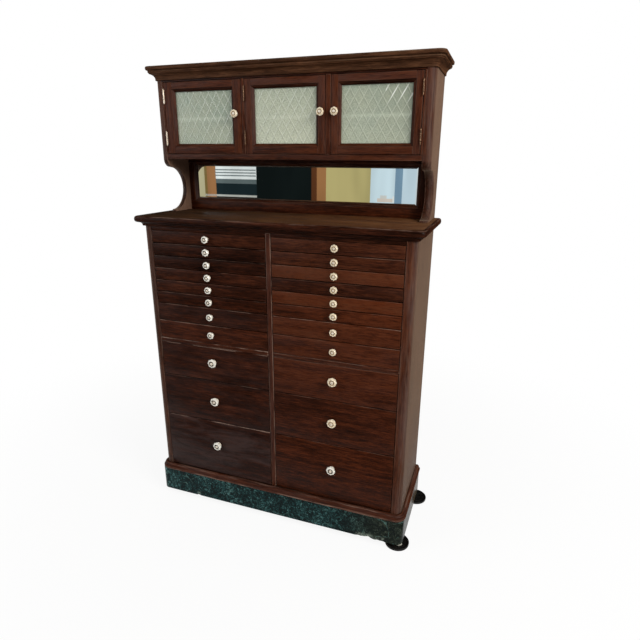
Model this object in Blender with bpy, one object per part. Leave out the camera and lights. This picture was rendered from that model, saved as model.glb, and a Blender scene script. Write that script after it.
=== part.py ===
"""Two-stage dental cabinet on a marble plinth, in metres.

The front faces -Y, +X is the viewer's right, and the feet stand on z = 0. Depths are measured back from
the front plane of the lower case; deep() turns one into a Y coordinate.
"""

import math

import bmesh
import bpy

# Clearance between pieces that touch, and how far joined shapes run into each other
GAP = 0.0003
JOIN_OVERLAP = 0.004

# Whole case
HALF_WIDTH = 0.456
CASE_DEPTH = 0.312
POST_WIDTH = 0.0314
BACK_PANEL = 0.012
CORNER_STEPS = 6

# Heights of the stages, from the floor up
PLINTH_BOTTOM = 0.028
PLINTH_HEIGHT = 0.089
TOP_RAIL_HEIGHT = 0.012
NICHE_HEIGHT = 0.1775
DOOR_RAIL_HEIGHT = 0.0165
DOOR_OPENING_HEIGHT = 0.222
HEAD_RAIL_HEIGHT = 0.005

# Drawers: heights of their slots in a column, from the top one down, and the rail above the deep ones
SHALLOW_COUNT = 6
SHALLOW_SLOT = 0.0415
SEVENTH_SLOT = 0.0615
EIGHTH_SLOT = 0.066
MID_RAIL_HEIGHT = 0.0135
UPPER_DEEP_SLOT = 0.125
MIDDLE_DEEP_SLOT = 0.160
LOWER_DEEP_SLOT = 0.215
SHALLOW_PITCHES = [SHALLOW_SLOT] * SHALLOW_COUNT + [SEVENTH_SLOT, EIGHTH_SLOT]
DEEP_PITCHES = [UPPER_DEEP_SLOT, MIDDLE_DEEP_SLOT, LOWER_DEEP_SLOT]
DRAWER_GAP = 0.0012
FRONT_THICKNESS = 0.018
BOX_BACK_PLAY = 0.020
BOX_WALL = 0.008
BOX_BOTTOM = 0.005
BOX_SIDE_PLAY = 0.002
BOX_LIFT = 0.004
BOX_TOP_DROP = 0.006
STILE_HALF = 0.0087
FACE_DEPTH = 0.020
RUNNER_HEIGHT = 0.0034
RUNNER_REACH = 0.012
POST_DEPTH = 0.036
LOWER_CORNER = 0.023
LOWER_SIDE_THICKNESS = 0.020

# Knobs: largest radius and reach in front of the face they stand on
SMALL_KNOB_RADIUS = 0.0122
SMALL_KNOB_REACH = 0.0165
LARGE_KNOB_RADIUS = 0.0160
LARGE_KNOB_REACH = 0.019
DOOR_KNOB_RADIUS = 0.0125
DOOR_KNOB_REACH = 0.0165
KNOB_FACETS = 8
KNOB_SINK = 0.003
# How far the deep drawers' knobs sit above the middle of their fronts
UPPER_DEEP_KNOB_RISE = 0.008
MIDDLE_DEEP_KNOB_RISE = 0.004
LOWER_DEEP_KNOB_RISE = 0.014
DEEP_KNOB_RISES = [UPPER_DEEP_KNOB_RISE, MIDDLE_DEEP_KNOB_RISE, LOWER_DEEP_KNOB_RISE]
# Share of the radius and share of the reach, from the face outwards
KNOB_PROFILE = [
    (0.58, 0.00), (0.50, 0.16), (0.46, 0.30), (0.92, 0.52),
    (1.00, 0.66), (0.80, 0.90), (0.26, 0.94), (0.20, 1.00),
]

# Upper case
UPPER_SETBACK = 0.130
UPPER_SIDE_THICKNESS = 0.025
UPPER_CORNER = 0.021
UPPER_FACE_DEPTH = 0.020
# Centre of each mullion, as a share of the opening's half width, and its width
LEFT_MULLION_SHARE = -0.3212
LEFT_MULLION_WIDTH = 0.0100
RIGHT_MULLION_SHARE = 0.3424
RIGHT_MULLION_WIDTH = 0.0156
SHELF_HEIGHT_ABOVE_FLOOR = 0.103
SHELF_THICKNESS = 0.012
SHELF_SETBACK = 0.032
CLEAT = 0.010
# Bracket curve: a round at the foot of the post, then a cove back to the niche
ROUND_RADIUS = 0.026
COVE_SETBACK = 0.027
TOE_HEIGHT = 0.0055

# Doors
HINGE_PLAY = 0.0020
CLOSING_PLAY = 0.0018
DOOR_END_PLAY = 0.0015
DOOR_THICKNESS = 0.020
DOOR_HEAD = 0.020
DOOR_FOOT = 0.0215
BEVEL_WIDTH = 0.009
BEVEL_DEPTH = 0.009
PANE_THICKNESS = 0.004
PANE_BITE = 0.005
LIP = 0.002
HINGE_LENGTH = 0.046
HINGE_RADIUS = 0.0030
HINGE_STAND_OFF = 0.0035
HINGE_LEAF = 0.0012
HINGE_LEAF_DEPTH = 0.017
LOW_HINGE_INSET = 0.048
HIGH_HINGE_INSET = 0.042
HINGE_STEPS = 12
KNOB_ABOVE_MIDDLE = 0.010
# Width of each door's stiles, and its knob's distance from the closing edge
LEFT_DOOR_STILE = 0.0275
LEFT_DOOR_KNOB_INSET = 0.020
MIDDLE_DOOR_STILE = 0.0215
MIDDLE_DOOR_KNOB_INSET = 0.0125
RIGHT_DOOR_STILE = 0.0205
RIGHT_DOOR_KNOB_INSET = 0.0125

# Mirror in the niche
MIRROR_BEFORE_BACK = 0.058
MIRROR_FRAME_THICKNESS = 0.024
MIRROR_STILE = 0.0207
MIRROR_HEAD = 0.011
MIRROR_FOOT = 0.032
MIRROR_SLIP = 0.0085
MIRROR_SLIP_DEPTH = 0.006
MIRROR_THICKNESS = 0.005
MIRROR_BEVEL = 0.014
MIRROR_EDGE = 0.003

# Mouldings: overhang past the case and height above the piece's underside
COUNTER_PROFILE = [
    (0.001, 0.000), (0.005, 0.002), (0.006, 0.006), (0.010, 0.011), (0.016, 0.013), (0.020, 0.015),
    (0.022, 0.019), (0.0225, 0.024), (0.0215, 0.029), (0.018, 0.032), (0.013, 0.033),
]
BASE_PROFILE = [
    (0.010, 0.000), (0.014, 0.002), (0.016, 0.006), (0.0165, 0.010),
    (0.0155, 0.014), (0.012, 0.018), (0.006, 0.0205), (0.002, 0.021),
]
CORNICE_PROFILE = [
    (0.002, 0.000), (0.004, 0.002), (0.004, 0.006), (0.0055, 0.011), (0.0095, 0.016), (0.015, 0.019),
    (0.0175, 0.021), (0.0195, 0.024), (0.0195, 0.028), (0.023, 0.030), (0.025, 0.034), (0.025, 0.037),
    (0.0235, 0.040), (0.019, 0.041),
]
COUNTER_CORNER = 0.016
CORNICE_CORNER = 0.020
BASE_CORNER = 0.0195

# Plinth and feet
MARBLE_OVERHANG = 0.013
MARBLE_THICKNESS = 0.020
MARBLE_CORNER = 0.024
PLINTH_FRAME_THICKNESS = 0.022
PLINTH_FRAME_LIFT = 0.003
CORNER_BLOCK = 0.085
FOOT_RADIUS = 0.041
FOOT_STEPS = 20
FOOT_STEM = 0.009
FOOT_DISH = 0.004
FOOT_RIM = 0.010
FOOT_TOE_INSET = 0.003
FOOT_RIM_WIDTH = 0.004
FOOT_DISH_INSET = 0.008
# Stems from the case's side inwards, and rear cups and stems from its back forwards
STEM_INSET = 0.020
REAR_FOOT_INSET = 0.0185
REAR_STEM_INSET = 0.0265
# How far a cup's centre stands outside the case's side, and depths of the front cups and stems
FRONT_FOOT_OUTSET = -0.010
REAR_FOOT_OUTSET = 0.008
LEFT_FOOT_DEPTH = 0.068
LEFT_STEM_DEPTH = 0.055
RIGHT_FOOT_DEPTH = 0.030
RIGHT_STEM_DEPTH = 0.042

# Inner faces of the posts and sides, from the middle of the case
POST_INNER = HALF_WIDTH - POST_WIDTH
LOWER_SIDE_INNER = HALF_WIDTH - LOWER_SIDE_THICKNESS
UPPER_SIDE_INNER = HALF_WIDTH - UPPER_SIDE_THICKNESS

# Stage heights above the floor
PLINTH_TOP = PLINTH_BOTTOM + PLINTH_HEIGHT
BASE_TOP = PLINTH_TOP + BASE_PROFILE[-1][1]
DRAWERS_TOP = BASE_TOP + sum(DEEP_PITCHES) + MID_RAIL_HEIGHT + sum(SHALLOW_PITCHES)
MID_RAIL_BOTTOM = BASE_TOP + sum(DEEP_PITCHES)
COUNTER_BOTTOM = DRAWERS_TOP + TOP_RAIL_HEIGHT
COUNTER_TOP = COUNTER_BOTTOM + COUNTER_PROFILE[-1][1]
UPPER_BOTTOM = COUNTER_TOP + NICHE_HEIGHT
OPENING_BOTTOM = UPPER_BOTTOM + DOOR_RAIL_HEIGHT
OPENING_TOP = OPENING_BOTTOM + DOOR_OPENING_HEIGHT
CORNICE_BOTTOM = OPENING_TOP + HEAD_RAIL_HEIGHT

# The counter's nose or the largest knobs reach furthest forward, and the rear cups furthest back
FRONT_REACH = max(LARGE_KNOB_REACH, *(overhang for overhang, _ in COUNTER_PROFILE))
BACK_REACH = FOOT_RADIUS - REAR_FOOT_INSET
BACK_Y = (CASE_DEPTH + FRONT_REACH - BACK_REACH) / 2
FRONT_Y = BACK_Y - CASE_DEPTH


def deep(depth):
    """Y of a depth measured back from the front plane of the lower case."""
    return FRONT_Y + depth


def clear_scene():
    for obj in list(bpy.data.objects):
        bpy.data.objects.remove(obj, do_unlink=True)


def material(name, colour, roughness, metallic=0.0):
    made = bpy.data.materials.new(name)
    made.use_nodes = True
    shader = made.node_tree.nodes["Principled BSDF"]
    shader.inputs["Base Color"].default_value = (*colour, 1.0)
    shader.inputs["Roughness"].default_value = roughness
    shader.inputs["Metallic"].default_value = metallic
    return made


def object_from(name, points, faces, mat, smooth_angle=None):
    """One mesh object with its faces turned outwards."""
    shape = bmesh.new()
    verts = [shape.verts.new(point) for point in points]
    for face in faces:
        shape.faces.new([verts[index] for index in face])
    bmesh.ops.recalc_face_normals(shape, faces=shape.faces)
    mesh = bpy.data.meshes.new(name)
    shape.to_mesh(mesh)
    shape.free()
    mesh.materials.append(mat)
    if smooth_angle is not None:
        mesh.shade_smooth()
        mesh.set_sharp_from_angle(angle=smooth_angle)
    obj = bpy.data.objects.new(name, mesh)
    bpy.context.scene.collection.objects.link(obj)
    return obj


def loft(name, loops, mat, closed=False, smooth_angle=None):
    """Skin through loops of equal length, capped at both ends, or joined end to start when closed."""
    count = len(loops[0])
    points = [point for loop in loops for point in loop]
    faces = []
    spans = len(loops) if closed else len(loops) - 1
    for span in range(spans):
        low = span * count
        high = (span + 1) % len(loops) * count
        for index in range(count):
            after = (index + 1) % count
            faces.append((low + index, low + after, high + after, high + index))
    if not closed:
        faces.append(tuple(range(count)))
        faces.append(tuple(range(len(points) - count, len(points))))
    return object_from(name, points, faces, mat, smooth_angle)


def prism(name, outline, bottom, top, mat, smooth_angle=None):
    """An outline in X and Y, raised from one height to another."""
    loops = [[(x, y, z) for x, y in outline] for z in (bottom, top)]
    return loft(name, loops, mat, smooth_angle=smooth_angle)


def plate(name, outline, front, back, mat):
    """An outline in X and Z, carried from one Y to another."""
    loops = [[(x, y, z) for x, z in outline] for y in (front, back)]
    return loft(name, loops, mat)


def rectangle(left, right, low, high):
    return [(left, low), (right, low), (right, high), (left, high)]


def box(name, x_span, y_span, z_span, mat):
    return prism(name, rectangle(*x_span, *y_span), *z_span, mat)


def boxes(name, spans, mat):
    """Several separate boxes in one mesh, for joining to a larger piece."""
    corners = [(0, 0, 0), (1, 0, 0), (1, 1, 0), (0, 1, 0), (0, 0, 1), (1, 0, 1), (1, 1, 1), (0, 1, 1)]
    sides = [(0, 1, 2, 3), (4, 5, 6, 7), (0, 1, 5, 4), (1, 2, 6, 5), (2, 3, 7, 6), (3, 0, 4, 7)]
    points = []
    faces = []
    for span in spans:
        start = len(points)
        points += [tuple(span[axis][corner[axis]] for axis in range(3)) for corner in corners]
        faces += [tuple(start + index for index in side) for side in sides]
    return object_from(name, points, faces, mat)


def join(obj, other):
    """Makes other part of obj's solid and hides the helper."""
    union = obj.modifiers.new("join_" + other.name, "BOOLEAN")
    union.operation = "UNION"
    union.solver = "EXACT"
    union.object = other
    other.hide_render = True
    other.display_type = "WIRE"


def arc(centre, radius, start_deg, end_deg, steps):
    points = []
    for step in range(steps + 1):
        angle = math.radians(start_deg + (end_deg - start_deg) * step / steps)
        points.append((centre[0] + radius * math.cos(angle), centre[1] + radius * math.sin(angle)))
    return points


def round_fronted(half_width, front, back, radius):
    """Plan outline with two rounded front corners and a straight back."""
    left = arc((-half_width + radius, front + radius), radius, 180, 270, CORNER_STEPS)
    right = arc((half_width - radius, front + radius), radius, 270, 360, CORNER_STEPS)
    return left + right + [(half_width, back), (-half_width, back)]


def moulded_slab(name, profile, bottom, front, radius, radius_grows, mat):
    """A slab whose front and side edges follow a profile of (overhang, height)."""
    loops = []
    for overhang, height in profile:
        corner = radius + overhang if radius_grows else radius
        outline = round_fronted(HALF_WIDTH + overhang, front - overhang, BACK_Y, corner)
        loops.append([(x, y, bottom + height) for x, y in outline])
    return loft(name, loops, mat, smooth_angle=math.radians(40))


def framed(name, x_span, z_span, section, mat):
    """A mitred frame: section is a closed list of (side inset, foot inset, head inset, y)."""
    loops = []
    for side, foot, head, y in section:
        outline = rectangle(x_span[0] + side, x_span[1] - side, z_span[0] + foot, z_span[1] - head)
        loops.append([(x, y, z) for x, z in outline])
    return loft(name, loops, mat, closed=True)


def glazed_section(front, thickness, face, bevel_width, bevel_depth, pane_thickness):
    """Frame section with a bevelled inner edge and a pane's groove; also gives the groove's front."""
    stile, foot, head = face
    groove_front = front + bevel_depth + LIP
    groove_back = groove_front + pane_thickness + 2 * GAP
    steps = [
        (0.0, front),
        (bevel_width, front + bevel_depth),
        (bevel_width, groove_front),
        (bevel_width - PANE_BITE, groove_front),
        (bevel_width - PANE_BITE, groove_back),
        (bevel_width, groove_back),
        (bevel_width, front + thickness),
    ]
    section = [(stile + past, foot + past, head + past, y) for past, y in steps]
    return [(0.0, 0.0, 0.0, front)] + section + [(0.0, 0.0, 0.0, front + thickness)], groove_front


def knob_loops(place, face_y, size, sink):
    """Rings of a faceted knob standing on a face that looks towards -Y."""
    radius, reach = size
    rings = [(KNOB_PROFILE[0][0], -sink / reach)] + KNOB_PROFILE[1:] if sink else KNOB_PROFILE
    loops = []
    for width, out in rings:
        ring = []
        for facet in range(KNOB_FACETS):
            angle = 2 * math.pi * (facet + 0.5) / KNOB_FACETS
            x = place[0] + radius * width * math.cos(angle)
            z = place[1] + radius * width * math.sin(angle)
            ring.append((x, face_y - reach * out, z))
        loops.append(ring)
    return loops


def drawer_stack():
    """(bottom, top, is_deep, knob_rise) of every drawer's slot in a column, from the top down."""
    slots = []
    top = DRAWERS_TOP
    for pitch in SHALLOW_PITCHES:
        slots.append((top - pitch, top, False, 0.0))
        top -= pitch
    top -= MID_RAIL_HEIGHT
    for pitch, rise in zip(DEEP_PITCHES, DEEP_KNOB_RISES):
        slots.append((top - pitch, top, True, rise))
        top -= pitch
    return slots


def build_drawer(name, column, slot, mat):
    """Front, open box and knob, joined into one piece."""
    bottom, top, is_deep, knob_rise = slot
    left, right = column
    half_gap = DRAWER_GAP / 2
    front = box(
        name,
        (left + half_gap, right - half_gap),
        (FRONT_Y, deep(FRONT_THICKNESS)),
        (bottom + half_gap, top - half_gap),
        mat,
    )
    floor = bottom + half_gap + BOX_LIFT
    rim = top - half_gap - BOX_TOP_DROP
    box_end = deep(CASE_DEPTH - BACK_PANEL - BOX_BACK_PLAY)
    outer = rectangle(left + BOX_SIDE_PLAY, right - BOX_SIDE_PLAY, deep(FRONT_THICKNESS / 2), box_end)
    inner = rectangle(
        left + BOX_SIDE_PLAY + BOX_WALL,
        right - BOX_SIDE_PLAY - BOX_WALL,
        deep(FRONT_THICKNESS * 0.8),
        box_end - BOX_WALL,
    )
    levels = [(outer, floor), (outer, rim), (inner, rim), (inner, floor + BOX_BOTTOM)]
    tray = loft(name + "_box", [[(x, y, z) for x, y in outline] for outline, z in levels], mat)
    join(front, tray)
    place = ((left + right) / 2, (bottom + top) / 2 + knob_rise)
    size = (LARGE_KNOB_RADIUS, LARGE_KNOB_REACH) if is_deep else (SMALL_KNOB_RADIUS, SMALL_KNOB_REACH)
    join(front, loft(name + "_knob", knob_loops(place, FRONT_Y, size, KNOB_SINK), mat))


def runner_spans(x_span):
    """One strip under each drawer box, along the given width."""
    spans = []
    for bottom, *_ in drawer_stack():
        top = bottom + DRAWER_GAP / 2 + BOX_LIFT - GAP
        y_span = (deep(POST_DEPTH / 2), deep(CASE_DEPTH - BACK_PANEL - 2 * GAP))
        spans.append((x_span, y_span, (top - RUNNER_HEIGHT, top)))
    return spans


def build_lower_side(name, hand, mat):
    """Side panel with its rounded front post and the runner strips of one column."""
    corner = arc((HALF_WIDTH - LOWER_CORNER, deep(LOWER_CORNER)), LOWER_CORNER, 270, 360, CORNER_STEPS)
    outline = [(POST_INNER, FRONT_Y)] + corner + [
        (HALF_WIDTH, BACK_Y),
        (LOWER_SIDE_INNER, BACK_Y),
        (LOWER_SIDE_INNER, deep(POST_DEPTH)),
        (POST_INNER, deep(POST_DEPTH)),
    ]
    outline = [(hand * x, y) for x, y in outline]
    side = prism(name, outline, BASE_TOP + GAP, COUNTER_BOTTOM - GAP, mat, smooth_angle=math.radians(40))
    strip = sorted((hand * (POST_INNER - RUNNER_REACH), hand * (LOWER_SIDE_INNER + JOIN_OVERLAP)))
    join(side, boxes(name + "_runners", runner_spans(strip), mat))


def build_lower_case(wood, marble, marble_frame):
    """Plinth, base board, sides, partition, face frame, back and counter top."""
    marble_half = HALF_WIDTH + MARBLE_OVERHANG
    marble_front = FRONT_Y - MARBLE_OVERHANG
    inner_corner = MARBLE_CORNER - MARBLE_THICKNESS
    outer = round_fronted(marble_half, marble_front, BACK_Y, MARBLE_CORNER)
    half = marble_half - MARBLE_THICKNESS
    front = marble_front + MARBLE_THICKNESS
    inner = round_fronted(half, front, BACK_Y, inner_corner)
    horseshoe = outer[:-1] + inner[-2::-1] + [inner[-1], outer[-1]]
    prism("plinth_marble", horseshoe, PLINTH_BOTTOM, PLINTH_TOP - GAP, marble, smooth_angle=math.radians(40))

    half -= GAP
    front += GAP
    ring = []
    for inset, cut in ((0.0, inner_corner), (PLINTH_FRAME_THICKNESS, CORNER_BLOCK)):
        left, right = -half + inset, half - inset
        near, far = front + inset, BACK_Y - inset
        ring.append(
            [
                (left, near + cut), (left + cut, near), (right - cut, near), (right, near + cut),
                (right, far - cut), (right - cut, far), (left + cut, far), (left, far - cut),
            ]
        )
    heights = (PLINTH_BOTTOM + PLINTH_FRAME_LIFT, PLINTH_TOP - GAP)
    turns = ((0, 0), (0, 1), (1, 1), (1, 0))
    loops = [[(x, y, heights[level]) for x, y in ring[side]] for side, level in turns]
    loft("plinth_frame", loops, marble_frame, closed=True)

    moulded_slab("base_board", BASE_PROFILE, PLINTH_TOP, FRONT_Y, BASE_CORNER, True, wood)
    build_lower_side("lower_side_left", -1, wood)
    build_lower_side("lower_side_right", 1, wood)

    low, high = BASE_TOP + GAP, COUNTER_BOTTOM - GAP
    panel_front = deep(CASE_DEPTH - BACK_PANEL)
    y_span = (deep(FACE_DEPTH) + GAP, panel_front - GAP)
    partition = box("partition", (-STILE_HALF, STILE_HALF), y_span, (low, high), wood)
    strip = (-STILE_HALF - RUNNER_REACH, STILE_HALF + RUNNER_REACH)
    spans = runner_spans(strip)
    spans = [(x, (y_span[0], y[1]), z) for x, y, z in spans]
    join(partition, boxes("partition_runners", spans, wood))

    edge = POST_INNER - GAP
    mid_top = MID_RAIL_BOTTOM + MID_RAIL_HEIGHT
    cross = [
        (STILE_HALF, low), (STILE_HALF, MID_RAIL_BOTTOM), (edge, MID_RAIL_BOTTOM), (edge, mid_top),
        (STILE_HALF, mid_top), (STILE_HALF, DRAWERS_TOP), (edge, DRAWERS_TOP), (edge, high),
    ]
    cross += [(-x, z) for x, z in reversed(cross)]
    plate("lower_face_frame", cross, FRONT_Y, deep(FACE_DEPTH), wood)

    inside = LOWER_SIDE_INNER - GAP
    box("lower_back", (-inside, inside), (panel_front, BACK_Y), (low, high), wood)
    moulded_slab("counter_top", COUNTER_PROFILE, COUNTER_BOTTOM, FRONT_Y, COUNTER_CORNER, False, wood)


def bracket_levels():
    """(height, depth of the front edge) up the upper side: toe, cove, round at the post's foot, post."""
    cove_radius = (NICHE_HEIGHT - ROUND_RADIUS - TOE_HEIGHT) / 2
    cove_centre = UPPER_BOTTOM - ROUND_RADIUS - cove_radius
    cove_depth = UPPER_SETBACK + COVE_SETBACK
    levels = [(COUNTER_TOP + GAP, cove_depth)]
    for angle in (-90, -70, -50, -30, -10, 10, 30, 50, 70):
        turn = math.radians(angle)
        levels.append((cove_centre + cove_radius * math.sin(turn), cove_depth + cove_radius * math.cos(turn)))
    for angle in (0, 22.5, 45, 67.5, 90):
        turn = math.radians(angle)
        depth = UPPER_SETBACK + ROUND_RADIUS * (1 - math.sin(turn))
        levels.append((UPPER_BOTTOM - ROUND_RADIUS * math.cos(turn), depth))
    levels.append((CORNICE_BOTTOM - GAP, UPPER_SETBACK))
    return levels


def mullion_span(share, width):
    centre = share * POST_INNER
    return (centre - width / 2, centre + width / 2)


def mullion_spans():
    left = mullion_span(LEFT_MULLION_SHARE, LEFT_MULLION_WIDTH)
    right = mullion_span(RIGHT_MULLION_SHARE, RIGHT_MULLION_WIDTH)
    return left, right


def build_upper_side(name, hand, shelf_bottom, mat):
    """Side panel, rounded at the front, running down into a curved bracket; with the shelf's cleat."""
    loops = []
    for height, depth in bracket_levels():
        front = deep(depth)
        centre = (HALF_WIDTH - UPPER_CORNER, front + UPPER_CORNER)
        corner = arc(centre, UPPER_CORNER, 270, 360, CORNER_STEPS)
        outline = [(UPPER_SIDE_INNER, front)] + corner + [(HALF_WIDTH, BACK_Y), (UPPER_SIDE_INNER, BACK_Y)]
        loops.append([(hand * x, y, height) for x, y in outline])
    side = loft(name, loops, mat, smooth_angle=math.radians(50))
    x_span = sorted((hand * (UPPER_SIDE_INNER - CLEAT), hand * (UPPER_SIDE_INNER + JOIN_OVERLAP)))
    y_span = (deep(UPPER_SETBACK + 2 * UPPER_FACE_DEPTH), deep(CASE_DEPTH - BACK_PANEL - CLEAT))
    z_span = (shelf_bottom - GAP - CLEAT, shelf_bottom - GAP)
    join(side, boxes(name + "_cleat", [(x_span, y_span, z_span)], mat))


def build_upper_case(wood, mirror_mat):
    """Bracket sides, face frame, boards, back, mirror and cornice."""
    shelf_bottom = OPENING_BOTTOM + SHELF_HEIGHT_ABOVE_FLOOR
    build_upper_side("upper_side_left", -1, shelf_bottom, wood)
    build_upper_side("upper_side_right", 1, shelf_bottom, wood)

    inside = UPPER_SIDE_INNER - GAP
    face = deep(UPPER_SETBACK)
    face_back = face + UPPER_FACE_DEPTH
    panel_front = deep(CASE_DEPTH - BACK_PANEL)
    head = CORNICE_BOTTOM - GAP
    section = [
        (0.0, 0.0, 0.0, face),
        (inside - POST_INNER, DOOR_RAIL_HEIGHT, head - OPENING_TOP, face),
        (inside - POST_INNER, DOOR_RAIL_HEIGHT, head - OPENING_TOP, face_back),
        (0.0, 0.0, 0.0, face_back),
    ]
    frame = framed("upper_face_frame", (-inside, inside), (UPPER_BOTTOM, head), section, wood)
    overlap = JOIN_OVERLAP / 2
    z_span = (OPENING_BOTTOM - overlap, OPENING_TOP + overlap)
    y_span = (face, face_back - overlap / 2)
    spans = [(x_span, y_span, z_span) for x_span in mullion_spans()]
    join(frame, boxes("mullions", spans, wood))

    board_span = (face_back + GAP, panel_front - GAP)
    box("upper_floor", (-inside, inside), board_span, (UPPER_BOTTOM, OPENING_BOTTOM), wood)
    shelf_span = (deep(UPPER_SETBACK + SHELF_SETBACK), panel_front - GAP)
    box("shelf", (-inside, inside), shelf_span, (shelf_bottom, shelf_bottom + SHELF_THICKNESS), wood)
    box("upper_back", (-inside, inside), (panel_front, BACK_Y), (COUNTER_TOP + GAP, head), wood)
    moulded_slab("cornice", CORNICE_PROFILE, CORNICE_BOTTOM, face, CORNICE_CORNER, False, wood)

    front = deep(CASE_DEPTH - MIRROR_BEFORE_BACK)
    z_span = (COUNTER_TOP + GAP, UPPER_BOTTOM - GAP)
    section, groove = glazed_section(
        front,
        MIRROR_FRAME_THICKNESS,
        (MIRROR_STILE, MIRROR_FOOT, MIRROR_HEAD),
        MIRROR_SLIP,
        MIRROR_SLIP_DEPTH,
        MIRROR_THICKNESS,
    )
    framed("mirror_frame", (-inside, inside), z_span, section, wood)
    grip = MIRROR_SLIP - PANE_BITE + GAP
    x_span = (-inside + MIRROR_STILE + grip, inside - MIRROR_STILE - grip)
    z_span = (z_span[0] + MIRROR_FOOT + grip, z_span[1] - MIRROR_HEAD - grip)
    back = groove + GAP + MIRROR_THICKNESS
    loops = []
    for inset, y in ((0.0, back), (0.0, back - MIRROR_EDGE), (MIRROR_BEVEL, groove + GAP)):
        outline = rectangle(x_span[0] + inset, x_span[1] - inset, z_span[0] + inset, z_span[1] - inset)
        loops.append([(x, y, z) for x, z in outline])
    loft("mirror", loops, mirror_mat)


def build_hinge(name, x, z_centre, mat):
    """Barrel standing proud of the face, with the leaf that lies in the gap beside the door."""
    face = deep(UPPER_SETBACK)
    axis_y = face - HINGE_STAND_OFF
    half_leaf = HINGE_LEAF / 2
    open_deg = math.degrees(math.asin(half_leaf / HINGE_RADIUS))
    barrel = arc((x, axis_y), HINGE_RADIUS, 90 + open_deg, 450 - open_deg, HINGE_STEPS)
    leaf_end = face + HINGE_LEAF_DEPTH
    outline = barrel + [(x + half_leaf, leaf_end), (x - half_leaf, leaf_end)]
    low = z_centre - HINGE_LENGTH / 2
    prism(name, outline, low, low + HINGE_LENGTH, mat, smooth_angle=math.radians(40))


def build_door(number, opening, hinge_hand, stile, knob_inset, wood, glass, brass):
    """Frame, pane and knob of one door, and its two hinges; hinge_hand is -1 for hinges on the left."""
    face = deep(UPPER_SETBACK)
    left = opening[0] + (HINGE_PLAY if hinge_hand < 0 else CLOSING_PLAY)
    right = opening[1] - (HINGE_PLAY if hinge_hand > 0 else CLOSING_PLAY)
    z_span = (OPENING_BOTTOM + DOOR_END_PLAY, OPENING_TOP - DOOR_END_PLAY)
    section, groove = glazed_section(
        face, DOOR_THICKNESS, (stile, DOOR_FOOT, DOOR_HEAD), BEVEL_WIDTH, BEVEL_DEPTH, PANE_THICKNESS
    )
    framed(f"door_{number}_frame", (left, right), z_span, section, wood)

    grip = BEVEL_WIDTH - PANE_BITE + GAP
    x_span = (left + stile + grip, right - stile - grip)
    pane_z = (z_span[0] + DOOR_FOOT + grip, z_span[1] - DOOR_HEAD - grip)
    box(f"door_{number}_pane", x_span, (groove + GAP, groove + GAP + PANE_THICKNESS), pane_z, glass)

    knob_x = right - knob_inset if hinge_hand < 0 else left + knob_inset
    place = (knob_x, sum(z_span) / 2 + KNOB_ABOVE_MIDDLE)
    size = (DOOR_KNOB_RADIUS, DOOR_KNOB_REACH)
    loft(f"door_{number}_knob", knob_loops(place, face - GAP, size, 0.0), glass)

    hinge_x = opening[0] + HINGE_PLAY / 2 if hinge_hand < 0 else opening[1] - HINGE_PLAY / 2
    build_hinge(f"door_{number}_hinge_low", hinge_x, z_span[0] + LOW_HINGE_INSET, brass)
    build_hinge(f"door_{number}_hinge_high", hinge_x, z_span[1] - HIGH_HINGE_INSET, brass)


def rings(centre, profile):
    """Loops of a round shape about an upright axis, from (radius, height) pairs."""
    loops = []
    for radius, height in profile:
        ring = arc(centre, radius, 0, 360, FOOT_STEPS)[:-1]
        loops.append([(x, y, height) for x, y in ring])
    return loops


def build_foot(name, hand, outset, cup_depth, stem_depth, mat):
    """Shallow round cup joined to the stem that stands in it."""
    cup_profile = [
        (FOOT_RADIUS - FOOT_TOE_INSET, 0.0),
        (FOOT_RADIUS, FOOT_RIM * 0.4),
        (FOOT_RADIUS, FOOT_RIM),
        (FOOT_RADIUS - FOOT_RIM_WIDTH, FOOT_RIM),
        (FOOT_RADIUS - FOOT_DISH_INSET, FOOT_DISH),
    ]
    cup_centre = (hand * (HALF_WIDTH + outset), deep(cup_depth))
    cup = loft(name, rings(cup_centre, cup_profile), mat, smooth_angle=math.radians(40))
    stem_centre = (hand * (HALF_WIDTH - STEM_INSET), deep(stem_depth))
    stem_profile = [(FOOT_STEM, FOOT_DISH / 2), (FOOT_STEM, PLINTH_BOTTOM + PLINTH_FRAME_LIFT - GAP)]
    join(cup, loft(name + "_stem", rings(stem_centre, stem_profile), mat))


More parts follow.
